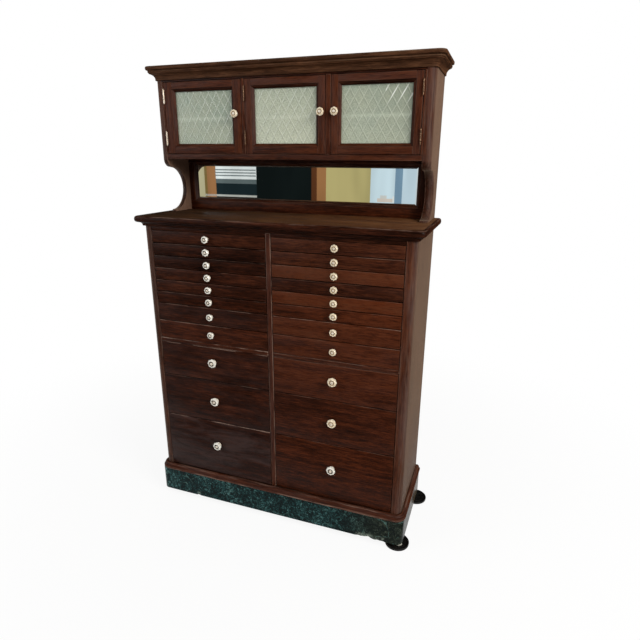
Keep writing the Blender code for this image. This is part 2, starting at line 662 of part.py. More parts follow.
def main():
    clear_scene()
    wood = material("mahogany", (0.075, 0.022, 0.012), 0.45)
    inner_wood = material("inner_wood", (0.16, 0.085, 0.045), 0.6)
    marble = material("green_marble", (0.015, 0.045, 0.038), 0.3)
    glass = material("obscured_glass", (0.55, 0.60, 0.50), 0.2)
    silver = material("mirror_glass", (0.8, 0.8, 0.8), 0.05, 1.0)
    brass = material("brass", (0.6, 0.45, 0.2), 0.35, 1.0)
    black = material("black_cup", (0.012, 0.012, 0.012), 0.4)

    build_lower_case(wood, marble, inner_wood)
    columns = {"left": (-POST_INNER, -STILE_HALF), "right": (STILE_HALF, POST_INNER)}
    for side, column in columns.items():
        for row, slot in enumerate(drawer_stack(), start=1):
            build_drawer(f"drawer_{side}_{row:02d}", column, slot, wood)

    build_upper_case(wood, silver)
    left_mullion, right_mullion = mullion_spans()
    finishes = (wood, glass, brass)
    build_door(1, (-POST_INNER, left_mullion[0]), -1, LEFT_DOOR_STILE, LEFT_DOOR_KNOB_INSET, *finishes)
    middle = (left_mullion[1], right_mullion[0])
    build_door(2, middle, -1, MIDDLE_DOOR_STILE, MIDDLE_DOOR_KNOB_INSET, *finishes)
    build_door(3, (right_mullion[1], POST_INNER), 1, RIGHT_DOOR_STILE, RIGHT_DOOR_KNOB_INSET, *finishes)

    build_foot("foot_front_left", -1, FRONT_FOOT_OUTSET, LEFT_FOOT_DEPTH, LEFT_STEM_DEPTH, black)
    build_foot("foot_front_right", 1, FRONT_FOOT_OUTSET, RIGHT_FOOT_DEPTH, RIGHT_STEM_DEPTH, black)
    rear_foot = CASE_DEPTH - REAR_FOOT_INSET
    rear_stem = CASE_DEPTH - REAR_STEM_INSET
    build_foot("foot_rear_left", -1, REAR_FOOT_OUTSET, rear_foot, rear_stem, black)
    build_foot("foot_rear_right", 1, REAR_FOOT_OUTSET, rear_foot, rear_stem, black)


main()
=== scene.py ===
import math

import bmesh
import bpy
from mathutils import Matrix, Vector


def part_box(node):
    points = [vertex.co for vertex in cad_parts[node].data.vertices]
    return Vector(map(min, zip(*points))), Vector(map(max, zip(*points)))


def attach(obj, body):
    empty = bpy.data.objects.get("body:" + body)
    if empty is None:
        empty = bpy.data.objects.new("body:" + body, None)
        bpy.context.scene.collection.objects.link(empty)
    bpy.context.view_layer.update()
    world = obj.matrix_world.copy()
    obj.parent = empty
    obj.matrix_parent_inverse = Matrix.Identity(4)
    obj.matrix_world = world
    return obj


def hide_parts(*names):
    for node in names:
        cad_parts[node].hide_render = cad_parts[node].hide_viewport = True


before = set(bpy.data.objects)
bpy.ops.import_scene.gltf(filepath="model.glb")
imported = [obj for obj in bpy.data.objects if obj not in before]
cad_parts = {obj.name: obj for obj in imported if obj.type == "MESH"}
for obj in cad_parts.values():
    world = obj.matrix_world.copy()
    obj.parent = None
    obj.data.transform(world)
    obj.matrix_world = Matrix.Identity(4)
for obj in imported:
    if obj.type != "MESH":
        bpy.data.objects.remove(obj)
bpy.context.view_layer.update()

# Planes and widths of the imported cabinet, in metres
FRONT_Y = -0.156
BACK_Y = 0.156
BACK_FRONT_Y = 0.144
UPPER_FACE_Y = -0.026
FACE_DEPTH = 0.020
HALF_WIDTH = 0.456
POST_INNER = 0.4246
LOWER_SIDE_INNER = 0.436
UPPER_SIDE_INNER = 0.431
LOWER_CORNER = 0.023
UPPER_CORNER = 0.021
BASE_CORNER = 0.0195
ARC_STEPS = 10
GAP = 0.0003

# Heights of the stages
PLINTH_BOTTOM = 0.028
PLINTH_TOP = 0.1167
BASE_TOP = 0.138
MID_RAIL = (0.638, 0.6515)
DRAWERS_TOP = 1.028
COUNTER_BOTTOM = 1.040
COUNTER_TOP = 1.073
UPPER_BOTTOM = 1.2505
OPENING = (1.267, 1.489)
CORNICE_BOTTOM = 1.494

# A tone is how much lighter, redder and more clouded a board is than the plain wood
PLAIN = (0.0, 0.0, 0.0)


class Graph:
    """The nodes of a material or world under construction."""

    def __init__(self, name, store=bpy.data.materials):
        self.owner = store.new(name)
        self.owner.use_nodes = True
        self.tree = self.owner.node_tree
        self.tree.nodes.clear()

    def fill(self, socket, value):
        if isinstance(value, bpy.types.NodeSocket):
            self.tree.links.new(value, socket)
        else:
            socket.default_value = value

    def add(self, kind, settings=None, values=(), **inputs):
        """Adds a node; values fill its first sockets, and inputs others by name, with _ for a space."""
        node = self.tree.nodes.new("ShaderNode" + kind)
        for key, value in (settings or {}).items():
            setattr(node, key, value)
        for socket, value in zip(node.inputs, values):
            self.fill(socket, value)
        for key, value in inputs.items():
            self.fill(node.inputs[key.replace("_", " ")], value)
        return node

    def attribute(self, name, output):
        return self.add("Attribute", {"attribute_name": name}).outputs[output]

    def place(self):
        return self.add("TexCoord").outputs["Object"]

    def math(self, operation, a, b=0.0, clamp=False):
        return self.add("Math", {"operation": operation, "use_clamp": clamp}, (a, b)).outputs[0]

    def weighted(self, *pairs):
        """Sum of sockets, each times a plain number."""
        total = None
        for socket, weight in pairs:
            share = self.math("MULTIPLY", socket, weight)
            total = share if total is None else self.math("ADD", total, share)
        return total

    def stretch(self, vector, scale):
        return self.add("VectorMath", {"operation": "MULTIPLY"}, (vector, scale)).outputs[0]

    def noise(self, vector, scale=1.0, detail=2.0, roughness=0.5, distortion=0.0):
        node = self.add(
            "TexNoise", Vector=vector, Scale=scale, Detail=detail, Roughness=roughness, Distortion=distortion
        )
        return node.outputs["Fac"]

    def cracks(self, vector, scale):
        """Distance to the nearest edge of a net of cells."""
        node = self.add("TexVoronoi", {"feature": "DISTANCE_TO_EDGE"}, Vector=vector, Scale=scale)
        return node.outputs["Distance"]

    def remap(self, value, low, high, to_low=0.0, to_high=1.0):
        node = self.add("MapRange", {"interpolation_type": "SMOOTHSTEP"}, (value, low, high, to_low, to_high))
        return node.outputs["Result"]

    def ramp(self, value, stops):
        node = self.add("ValToRGB", Fac=value)
        elements = node.color_ramp.elements
        while len(elements) < len(stops):
            elements.new(0.5)
        for element, (place, colour) in zip(elements, stops):
            element.position = place
            element.color = (*colour, 1.0)
        return node.outputs["Color"]

    def mix(self, factor, a, b):
        """Colour mix; plain colours are given as three numbers."""
        node = self.add("Mix", {"data_type": "RGBA"})
        for socket, value in ((node.inputs[0], factor), (node.inputs[6], a), (node.inputs[7], b)):
            self.fill(socket, (*value, 1.0) if isinstance(value, tuple) else value)
        return node.outputs[2]

    def shown(self):
        """1 for rays from the camera and for those that metal and glass send on, and otherwise 0."""
        rays = self.add("LightPath").outputs
        sent_on = self.math("MAXIMUM", rays["Is Glossy Ray"], rays["Is Transmission Ray"])
        return self.math("MAXIMUM", rays["Is Camera Ray"], sent_on)

    def bump(self, height, strength, distance):
        return self.add("Bump", Height=height, Strength=strength, Distance=distance).outputs["Normal"]

    def output(self, shader):
        self.add("OutputMaterial", Surface=shader.outputs[0])
        return self.owner

    def finish(self, **inputs):
        return self.output(self.add("BsdfPrincipled", **inputs))


def wood(name, dark, middle, light, red, bloom, dust, rubbed, bare, roughness, sheen, film=0.0):
    """Straight-grained wood; reads the grain, tone and wear that each piece stores on its face corners."""
    graph = Graph(name)
    grain = graph.attribute("grain", "Vector")
    tone = graph.add("SeparateXYZ", Vector=graph.attribute("tone", "Vector")).outputs
    wear = graph.attribute("wear", "Fac")
    ribbons = graph.noise(graph.stretch(grain, (3.5, 70.0, 70.0)), detail=5.0, roughness=0.6, distortion=0.4)
    streaks = graph.noise(graph.stretch(grain, (26.0, 380.0, 380.0)), detail=5.0, roughness=0.75)
    clouds = graph.noise(graph.stretch(grain, (9.0, 22.0, 22.0)), detail=5.0, roughness=0.65)
    fibres = graph.noise(graph.stretch(grain, (45.0, 900.0, 900.0)), detail=2.0)
    figure = graph.weighted((ribbons, 0.30), (streaks, 0.50), (clouds, 0.20))
    figure = graph.math("ADD", figure, tone[0])
    plain = graph.ramp(figure, [(0.38, dark), (0.50, middle), (0.63, light)])
    reddish = graph.ramp(figure, [(0.38, dark), (0.47, middle), (0.56, red), (0.67, light)])
    colour = graph.mix(tone[1], plain, reddish)
    pores = graph.remap(fibres, 0.50, 0.70, 0.0, 0.6)
    colour = graph.mix(pores, colour, dark)
    smears = graph.noise(graph.stretch(grain, (5.0, 22.0, 22.0)), detail=6.0, roughness=0.7, distortion=0.8)
    patches = graph.remap(smears, 0.36, 0.64, 0.15, 1.45)
    faded = graph.remap(tone[2], 0.5, 0.8)
    evened = graph.math("MULTIPLY", graph.math("SUBTRACT", 0.92, patches), faded)
    haze = graph.math("MULTIPLY", graph.math("ADD", patches, evened), tone[2], clamp=True)
    deep, pale = (tuple(share * level for level in dust) for share in (0.50, 1.25))
    bleached = graph.ramp(figure, [(0.40, deep), (0.60, pale)])
    colour = graph.mix(haze, colour, graph.mix(faded, bloom, bleached))
    rubs = graph.noise(graph.stretch(grain, (11.0, 200.0, 200.0)), detail=5.0, roughness=0.7)
    worn = graph.math("MULTIPLY", graph.remap(rubs, 0.44, 0.60), wear, clamp=True)
    colour = graph.mix(worn, colour, graph.mix(wear, rubbed, bare))
    gloss = graph.weighted((clouds, 0.26), (worn, 0.20), (haze, 0.16))
    gloss = graph.math("ADD", gloss, roughness - 0.13, clamp=True)
    relief = graph.weighted((streaks, 0.6), (ribbons, 1.3), (pores, -1.0))
    return graph.finish(
        Base_Color=colour,
        Roughness=gloss,
        Specular_IOR_Level=sheen,
        Sheen_Weight=film,
        Sheen_Roughness=0.4,
        Sheen_Tint=(0.82, 0.60, 0.42, 1.0),
        Normal=graph.bump(relief, 0.4, 0.0006),
    )


def plain_wood(name, dark, light):
    """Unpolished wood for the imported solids, which carry no grain of their own: it runs front to back."""
    graph = Graph(name)
    place = graph.place()
    streaks = graph.noise(graph.stretch(place, (60.0, 4.0, 60.0)), detail=5.0, roughness=0.6, distortion=0.3)
    fibres = graph.noise(graph.stretch(place, (600.0, 14.0, 600.0)), detail=2.0)
    figure = graph.weighted((streaks, 0.7), (fibres, 0.3))
    colour = graph.ramp(figure, [(0.34, dark), (0.66, light)])
    gloss = graph.remap(fibres, 0.3, 0.7, 0.55, 0.75)
    return graph.finish(Base_Color=colour, Roughness=gloss, Normal=graph.bump(figure, 0.3, 0.0005))


def green_marble(name):
    """Near-black stone crowded with teal flakes, netted with dark threads, duller towards one end."""
    graph = Graph(name)
    place = graph.place()
    drift = graph.add("TexNoise", Vector=place, Scale=16.0, Detail=5.0, Roughness=0.65).outputs["Color"]
    warp = graph.add("VectorMath", {"operation": "MULTIPLY_ADD"}, (drift, (0.06, 0.06, 0.06), place))
    warped = warp.outputs[0]
    clouds = graph.noise(place, 26.0, 4.0, 0.6)
    flakes = graph.noise(warped, 135.0, 5.0, 0.8)
    specks = graph.noise(place, 330.0, 2.0, 0.6)
    body = graph.weighted((clouds, 0.20), (flakes, 0.60), (specks, 0.20))
    teal = graph.ramp(
        body,
        [
            (0.43, (0.0010, 0.0032, 0.0034)),
            (0.50, (0.0036, 0.0150, 0.0155)),
            (0.55, (0.0190, 0.0680, 0.0670)),
            (0.63, (0.1300, 0.2500, 0.2400)),
        ],
    )
    drab = graph.ramp(
        body,
        [
            (0.43, (0.0020, 0.0032, 0.0024)),
            (0.51, (0.0080, 0.0125, 0.0085)),
            (0.66, (0.0800, 0.1000, 0.0720)),
        ],
    )
    across = graph.add("SeparateXYZ", Vector=warped).outputs[0]
    colour = graph.mix(graph.remap(across, 0.22, 0.44), teal, drab)
    threads = graph.remap(graph.cracks(warped, 46.0), 0.10, 0.0, 0.0, 0.9)
    colour = graph.mix(threads, colour, (0.002, 0.005, 0.005))
    gaps = graph.remap(graph.noise(place, 17.0, 3.0), 0.50, 0.62)
    veins = graph.math("MULTIPLY", graph.remap(graph.cracks(warped, 13.0), 0.022, 0.0), gaps)
    colour = graph.mix(veins, colour, (0.065, 0.130, 0.115))
    # The third share of the tone browns the stone: partly dust, partly a painted reflection of the warm floor
    film = graph.add("SeparateXYZ", Vector=graph.attribute("tone", "Vector")).outputs[2]
    colour = graph.mix(film, colour, (0.110, 0.060, 0.030))
    broken = graph.remap(flakes, 0.44, 0.56)
    chipped = graph.math("MULTIPLY", graph.attribute("wear", "Fac"), broken, clamp=True)
    colour = graph.mix(chipped, colour, (0.230, 0.270, 0.220))
    gloss = graph.math("ADD", graph.remap(flakes, 0.3, 0.7, 0.34, 0.22), graph.math("MULTIPLY", chipped, 0.3))
    return graph.finish(
        Base_Color=colour, Roughness=gloss, Specular_IOR_Level=0.06, Normal=graph.bump(specks, 0.12, 0.0005)
    )


def figured_glass(name):
    """Pale rolled glass; wear is a rib's painted highlight, and tone the painted light, glint and shade of a
    place.
    """
    graph = Graph(name)
    place = graph.place()
    tone = graph.add("SeparateXYZ", Vector=graph.attribute("tone", "Vector")).outputs
    ripple = graph.noise(place, 420.0, 3.0, 0.65)
    tint = graph.noise(place, 9.0, 3.0, 0.6)
    field = graph.ramp(tint, [(0.35, (0.310, 0.375, 0.300)), (0.65, (0.390, 0.425, 0.320))])
    # Painted light and painted shade of the field, then the painted highlight of the ribs and their painted
    # glint
    field = graph.mix(tone[0], field, (0.640, 0.670, 0.520))
    field = graph.mix(tone[2], field, (0.130, 0.145, 0.105))
    stipple = graph.math("MULTIPLY", graph.remap(ripple, 0.46, 0.60), 0.48)
    field = graph.mix(stipple, field, (0.180, 0.205, 0.165))
    colour = graph.mix(graph.attribute("wear", "Fac"), field, (0.680, 0.720, 0.590))
    colour = graph.mix(tone[1], colour, (0.960, 0.970, 0.930))
    gloss = graph.remap(ripple, 0.3, 0.7, 0.10, 0.24)
    return graph.finish(
        Base_Color=colour,
        Roughness=gloss,
        Transmission_Weight=0.18,
        IOR=1.5,
        Normal=graph.bump(ripple, 0.25, 0.0006),
    )


def pressed_glass(name, deep, pale):
    graph = Graph(name)
    swirl = graph.noise(graph.place(), 190.0, 3.0, 0.6, 0.6)
    colour = graph.ramp(swirl, [(0.35, deep), (0.65, pale)])
    gloss = graph.remap(swirl, 0.3, 0.7, 0.06, 0.16)
    return graph.finish(
        Base_Color=colour,
        Roughness=gloss,
        Transmission_Weight=0.12,
        IOR=1.5,
        Coat_Weight=0.3,
        Normal=graph.bump(swirl, 0.10, 0.0006),
    )


def silvering(name):
    """Mirror with a little foxing towards the edge, where its wear is highest."""
    graph = Graph(name)
    spots = graph.noise(graph.place(), 120.0, 4.0, 0.65)
    age = graph.math("MULTIPLY", graph.remap(spots, 0.52, 0.72), graph.attribute("wear", "Fac"), clamp=True)
    colour = graph.mix(age, (0.84, 0.87, 0.85), (0.20, 0.17, 0.14))
    gloss = graph.math("ADD", graph.math("MULTIPLY", age, 0.4), 0.012)
    return graph.finish(Base_Color=colour, Roughness=gloss, Metallic=1.0)


def aged_metal(name, bright, dull, roughness, metallic=1.0):
    """Stained metal; where it is less than metallic, a skin of its colour covers it, on the bright pieces a
    painted reflection.
    """
    graph = Graph(name)
    place = graph.place()
    stains = graph.noise(place, 180.0, 5.0, 0.7, 0.4)
    scratches = graph.noise(graph.stretch(place, (900.0, 900.0, 120.0)), detail=2.0)
    colour = graph.ramp(stains, [(0.38, dull), (0.62, bright)])
    gloss = graph.remap(stains, 0.35, 0.65, roughness + 0.22, roughness)
    return graph.finish(
        Base_Color=colour, Roughness=gloss, Metallic=metallic, Normal=graph.bump(scratches, 0.08, 0.0004)
    )


def dusty(name, clean, dust_colour, roughness, sheen=0.3):
    """Plain hard stuff with dust in patches."""
    graph = Graph(name)
    dust = graph.noise(graph.place(), 110.0, 5.0, 0.68)
    colour = graph.ramp(dust, [(0.42, clean), (0.72, dust_colour)])
    gloss = graph.remap(dust, 0.35, 0.7, roughness, roughness + 0.3)
    return graph.finish(
        Base_Color=colour, Roughness=gloss, Specular_IOR_Level=sheen, Normal=graph.bump(dust, 0.12, 0.0006)
    )


POLISHED = {
    "dark": (0.0060, 0.0015, 0.0005),
    "middle": (0.0285, 0.0062, 0.0018),
    "light": (0.0820, 0.0225, 0.0080),
    "red": (0.0780, 0.0155, 0.0036),
    "bloom": (0.0560, 0.0350, 0.0320),
    "rubbed": (0.1000, 0.0500, 0.0320),
    "bare": (0.2900, 0.1950, 0.1500),
    "roughness": 0.40,
    "sheen": 0.07,
}
MAHOGANY = wood("mahogany", dust=(0.2180, 0.1370, 0.0950), **POLISHED)
DULLED = wood("dulled_mahogany", dust=(0.1120, 0.0640, 0.0420), film=0.30, **POLISHED)
WEATHERED = wood(
    "weathered_mahogany",
    dark=(0.0080, 0.0034, 0.0012),
    middle=(0.0380, 0.0146, 0.0066),
    light=(0.1080, 0.0470, 0.0225),
    red=(0.0760, 0.0225, 0.0070),
    bloom=(0.1600, 0.0640, 0.0190),
    dust=(0.2050, 0.1300, 0.0820),
    rubbed=(0.1150, 0.0700, 0.0400),
    bare=(0.3000, 0.2150, 0.1500),
    roughness=0.50,
    sheen=0.04,
)
INNER_WOOD = wood(
    "inner_wood",
    dark=(0.085, 0.046, 0.022),
    middle=(0.165, 0.095, 0.048),
    light=(0.250, 0.155, 0.085),
    red=(0.170, 0.085, 0.040),
    bloom=(0.160, 0.120, 0.090),
    dust=(0.220, 0.170, 0.120),
    rubbed=(0.200, 0.120, 0.070),
    bare=(0.330, 0.220, 0.130),
    roughness=0.62,
    sheen=0.30,
)
RUNNER_WOOD = plain_wood("runner_wood", (0.10, 0.055, 0.028), (0.23, 0.14, 0.078))
MARBLE = green_marble("green_marble")
PANE = figured_glass("figured_glass")
CLEAR_GLASS = pressed_glass("clear_pressed_glass", (0.70, 0.66, 0.56), (0.90, 0.88, 0.82))
# Glass of most knobs on the right and of the door knobs: its warm cream is a painted reflection of the warm
# room
WARM_REFLECTION_GLASS = pressed_glass("pressed_glass_warm_reflection", (0.64, 0.50, 0.32), (0.88, 0.79, 0.62))
MIRROR = silvering("mirror_glass")
BRASS = aged_metal("aged_brass", (0.34, 0.20, 0.12), (0.12, 0.065, 0.040), 0.38)
# Door 1's hinges: painted bright, a painted highlight of the window reflected in them
BRASS_PAINTED_HIGHLIGHT = aged_metal("brass_painted_highlight", (0.90, 0.80, 0.68), (0.66, 0.52, 0.38), 0.22, 0.4)
NICKEL = aged_metal("aged_nickel", (0.80, 0.74, 0.66), (0.46, 0.40, 0.33), 0.20)
# The bolts are painted bright: a painted reflection of the bright room
BOLT = aged_metal("bolt_painted_reflection", (0.86, 0.80, 0.70), (0.60, 0.50, 0.38), 0.30, 0.25)
BLACK = dusty("black_cup", (0.004, 0.004, 0.004), (0.016, 0.014, 0.012), 0.26, 0.12)
# Linings of the knob recesses: dark, partly grime and partly painted shade
GRIMY_SHADE_LINING = dusty("grimy_shade_lining", (0.020, 0.014, 0.010), (0.090, 0.065, 0.045), 0.55)
PALE_GRIMY_SHADE_LINING = dusty("pale_grimy_shade_lining", (0.280, 0.195, 0.110), (0.450, 0.340, 0.215), 0.50)
ROLLER = dusty("worn_roller", (0.50, 0.50, 0.43), (0.26, 0.24, 0.19), 0.40)


class Piece:
    """One visible piece: its shapes, and the grain, tone and wear of each face corner."""

    grain_order = {"x": (0, 2, 1), "y": (1, 0, 2), "z": (2, 0, 1)}
    boards = 0
    # Places in one endless plank that the boards are cut from
    plank_step = Vector((0.37, 0.213, 0.119))
    plank_stride = 7
    plank_places = 41
    # Least upward slant of a face that counts as an upper edge
    facing_up = 0.3
    weld_reach = 1e-6

    def __init__(self, name, *materials):
        self.name = name
        self.materials = materials
        self.shape = bmesh.new()
        layers = self.shape.loops.layers
        self.grain = layers.float_vector.new("grain")
        self.tone = layers.float_vector.new("tone")
        self.wear = layers.float.new("wear")

    def seed(self):
        """Where in the endless plank the next board is cut from."""
        Piece.boards += 1
        return self.plank_step * (Piece.boards * self.plank_stride % self.plank_places)

    def dress(self, faces, grain_of, slot, tone_of, wear_of, smooth):
        for face in faces:
            face.material_index = slot
            face.smooth = smooth
            for loop in face.loops:
                loop[self.grain] = grain_of(loop.vert)
                loop[self.tone] = tone_of(loop.vert)
                loop[self.wear] = wear_of(face, loop.vert)

    def flat(self, faces, along, slot=0, tone=PLAIN, wear_of=lambda face, vert: 0.0):
        """Dresses flat faces with grain that follows an axis; tone may be a function of the point."""
        start = self.seed()
        order = self.grain_order[along]

        def grain_of(vert):
            return start + Vector([vert.co[i] for i in order])

        tone_of = tone if callable(tone) else lambda vert: tone
        self.dress(faces, grain_of, slot, tone_of, wear_of, False)

    def board(self, x, y, z, along, slot=0, tone=PLAIN, rounding=0.0012, wear=0.3, top_wear=None):
        """A straight board with eased edges; top_wear is the wear of its upper edges where it differs."""
        old = set(self.shape.faces)
        size = (x[1] - x[0], y[1] - y[0], z[1] - z[0])
        centre = Vector((x[0] + x[1], y[0] + y[1], z[0] + z[1])) / 2
        matrix = Matrix.Translation(centre) @ Matrix.Diagonal((*size, 1.0))
        made = bmesh.ops.create_cube(self.shape, size=1.0, matrix=matrix)
        edges = list({edge for vert in made["verts"] for edge in vert.link_edges})
        eased = bmesh.ops.bevel(
            self.shape,
            geom=edges,
            offset=rounding,
            segments=2,
            profile=0.5,
            affect="EDGES",
            clamp_overlap=True,
        )
        eased = set(eased["faces"])
        upper = wear if top_wear is None else top_wear

        def wear_of(face, vert):
            if face not in eased:
                return 0.0
            return upper if face.normal.z > self.facing_up else wear

        faces = [face for face in self.shape.faces if face not in old]
        for face in faces:
            face.normal_update()
        self.flat(faces, along, slot, tone, wear_of)

    def skin(self, loops, grain, slot=0, tone=PLAIN, wear=None, closed=False, around=True, smooth=True):
        """Faces between loops of equal length; grain, wear and a listed tone have a value for each point."""
        start = self.seed()
        verts = [[self.shape.verts.new(point) for point in loop] for loop in loops]
        grain_of, tone_of, wear_of = {}, {}, {}
        for row, loop in enumerate(verts):
            for column, vert in enumerate(loop):
                grain_of[vert] = start + Vector(grain[row][column])
                tone_of[vert] = tone if isinstance(tone, tuple) else tone[row][column]
                wear_of[vert] = wear[row][column] if wear else 0.0
        faces = []
        rows = len(verts) if closed else len(verts) - 1
        columns = len(verts[0]) if around else len(verts[0]) - 1
        for row in range(rows):
            low = verts[row]
            high = verts[(row + 1) % len(verts)]
            for column in range(columns):
                after = (column + 1) % len(low)
                faces.append(self.shape.faces.new((low[column], low[after], high[after], high[column])))
        self.dress(faces, grain_of.get, slot, tone_of.get, lambda face, vert: wear_of[vert], smooth)
        return verts

    def solid(self, loops, grain, along, slot=0, tone=PLAIN, wear=None, smooth=True):
        """A skin with both its ends closed by flat faces, which are returned."""
        verts = self.skin(loops, grain, slot, tone, wear, smooth=smooth)
        ends = [self.shape.faces.new(verts[0]), self.shape.faces.new(verts[-1])]
        self.flat(ends, along, slot)
        return ends

    def lathe(self, centre, axis, profile, steps, slot=0, corners=0, closed=True):
        """Rings of (radius, distance along axis, share of a polygon with so many corners)."""
        axis = Vector(axis).normalized()
        side = Vector((1.0, 0.0, 0.0)) if abs(axis.z) > 0.5 else Vector((0.0, 0.0, 1.0))
        other = axis.cross(side)
        loops = []
        for radius, along, *share in profile:
            ring = []
            for step in range(steps):
                angle = 2 * math.pi * step / steps
                reach = radius
                if corners and share:
                    sector = 2 * math.pi / corners
                    turn = angle % sector - sector / 2
                    flat = math.cos(sector / 2) / math.cos(turn)
                    reach *= 1 - share[0] * (1 - flat)
                spoke = side * math.cos(angle) + other * math.sin(angle)
                ring.append(Vector(centre) + axis * along + reach * spoke)
            loops.append(ring)
        if closed:
            self.solid(loops, loops, "z", slot)
        else:
            self.skin(loops, loops, slot)

    def weld(self, verts):
        bmesh.ops.remove_doubles(self.shape, verts=verts, dist=self.weld_reach)

    def make(self, body, nodes, sharp=35):
        """Turns the shapes into an object that rides on a body and stands for the given nodes."""
        bmesh.ops.recalc_face_normals(self.shape, faces=self.shape.faces)
        mesh = bpy.data.meshes.new(self.name)
        self.shape.to_mesh(mesh)
        self.shape.free()
        for material in self.materials:
            mesh.materials.append(material)
        mesh.set_sharp_from_angle(angle=math.radians(sharp))
        piece = bpy.data.objects.new(self.name, mesh)
        bpy.context.scene.collection.objects.link(piece)
        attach(piece, body)
        if nodes:
            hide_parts(*nodes)


def in_metres(rows):
    """A table whose lengths are listed in millimetres."""
    return [tuple(0.001 * length for length in row) for row in rows]


def arc(centre, radius, start_deg, end_deg):
    points = []
    for step in range(ARC_STEPS + 1):
        angle = math.radians(start_deg + (end_deg - start_deg) * step / ARC_STEPS)
        points.append((centre[0] + radius * math.cos(angle), centre[1] + radius * math.sin(angle)))
    return points


def front_corners(half, front, radius):
    """Points round the two front corners of a plan, left and right."""
    left = arc((-half + radius, front + radius), radius, 180, 270)
    right = arc((half - radius, front + radius), radius, 270, 360)
    return left, right


def rectangle(x, y, z):
    """Corners of a rectangle that stands across the cabinet."""
    return [(x[0], y, z[0]), (x[1], y, z[0]), (x[1], y, z[1]), (x[0], y, z[1])]


def distances(points):
    """Length along a line of points, up to each of them."""
    total = [0.0]
    for before, after in zip(points, points[1:]):
        total.append(total[-1] + math.dist(before, after))
    return total


def bell(value, middle, reach):
    """1 at the middle, and falling off smoothly on both sides of it."""
    return math.exp(-(((value - middle) / reach) ** 2))


def blend(start, end, share):
    """A tone between two others."""
    return tuple(a + (b - a) * share for a, b in zip(start, end))


def flowing(start, *stretches, steps=5):
    """A profile of stretches that meet in corners: straight to one point, or smooth through several."""
    line = [start]
    for stretch in stretches:
        if len(stretch) == 1:
            line += stretch
            continue
        ends = [line[-1], line[-1], *stretch, stretch[-1]]
        for a, b, c, d in zip(ends, ends[1:], ends[2:], ends[3:]):
            for step in range(1, steps + 1):
                t = step / steps
                point = []
                for i in range(2):
                    bend = 2 * b[i] + (c[i] - a[i]) * t
                    bend += (2 * a[i] - 5 * b[i] + 4 * c[i] - d[i]) * t**2
                    bend += (3 * b[i] - a[i] - 3 * c[i] + d[i]) * t**3
                    point.append(bend / 2)
                line.append(tuple(point))
    return in_metres(line)


def round_front(overhang, face_y, radius):
    """Plan of a moulded edge: up one side, round both front corners, and back along the other side."""
    half = HALF_WIDTH + overhang
    left, right = front_corners(half, face_y - overhang, radius)
    return [(-half, BACK_Y), *left, *right, (half, BACK_Y)]


def moulding(piece, profile, bottom, face_y, radius, worn, tone, top_tone, top_wear, grows=False):
    """A slab with a moulded edge, its last material on top, its sides painted lighter to the back; worn lists
    (height, reach, amount) of rubs and painted highlights.
    """
    loops, grain, wear, tones = [], [], [], []
    lit_side_tone = (tone[0] + SIDE_PAINTED_LIGHT, *tone[1:])
    for place, (overhang, height) in zip(distances(profile), profile):
        plan = round_front(overhang, face_y, radius + overhang if grows else radius)
        rubbed = max(amount * bell(height, at, reach) for at, reach, amount in worn)
        loops.append([(x, y, bottom + height) for x, y in plan])
        grain.append([(s, place, 0.0) for s in distances(plan)])
        wear.append([rubbed] * len(plan))
        tones.append([lit_side_tone] + [tone] * (len(plan) - 2) + [lit_side_tone])
    _, top = piece.solid(loops, grain, "x", tone=tones, wear=wear)
    piece.flat([top], "x", len(piece.materials) - 1, top_tone, lambda face, vert: top_wear)


# Painted light on the sides of a moulding: how much lighter it is at their back ends
SIDE_PAINTED_LIGHT = 0.10
CORNICE_CORNER = 0.020
COUNTER_CORNER = 0.016
# Profiles as overhang and height, in millimetres
CORNICE_PROFILE = flowing(
    (2.0, 0.0),
    [(3.8, 0.8)],
    [(4.0, 5.4)],
    [(5.0, 10.0), (8.5, 15.2), (13.5, 18.6), (16.5, 19.8)],
    [(17.8, 20.0)],
    [(17.8, 22.0)],
    [(19.7, 23.4), (20.2, 25.8), (19.6, 28.2)],
    [(19.0, 29.2)],
    [(22.2, 29.6)],
    [(24.5, 31.2), (25.0, 34.5), (24.9, 38.0), (23.8, 40.2), (21.0, 41.0)],
)
COUNTER_PROFILE = flowing(
    (1.0, 0.0),
    [(4.5, 0.4)],
    [(5.0, 3.0)],
    [(6.0, 7.0), (9.0, 10.2), (14.0, 12.2)],
    [(16.0, 12.4)],
    [(20.0, 14.2), (22.0, 18.0), (22.5, 23.0), (21.4, 28.5), (18.4, 31.8), (13.0, 33.0)],
)
BASE_PROFILE = flowing(
    (10.0, 0.0),
    [(14.0, 0.6)],
    [(16.0, 2.6), (16.5, 5.4), (15.8, 8.2), (13.6, 10.2)],
    [(12.2, 10.6)],
    [(12.2, 13.6), (11.2, 17.0), (8.5, 19.8)],
    [(7.0, 20.9)],
    [(2.0, 21.0)],
)


# Tone of the counter's top at its left and right ends; the paler, hazier right end is a painted sheen
COUNTER_SHEEN_TONES = [(-0.12, 0.9, 0.12), (0.06, 0.9, 0.60)]


def counter_sheen_tone(vert):
    return blend(*COUNTER_SHEEN_TONES, (vert.co.x / HALF_WIDTH + 1) / 2)


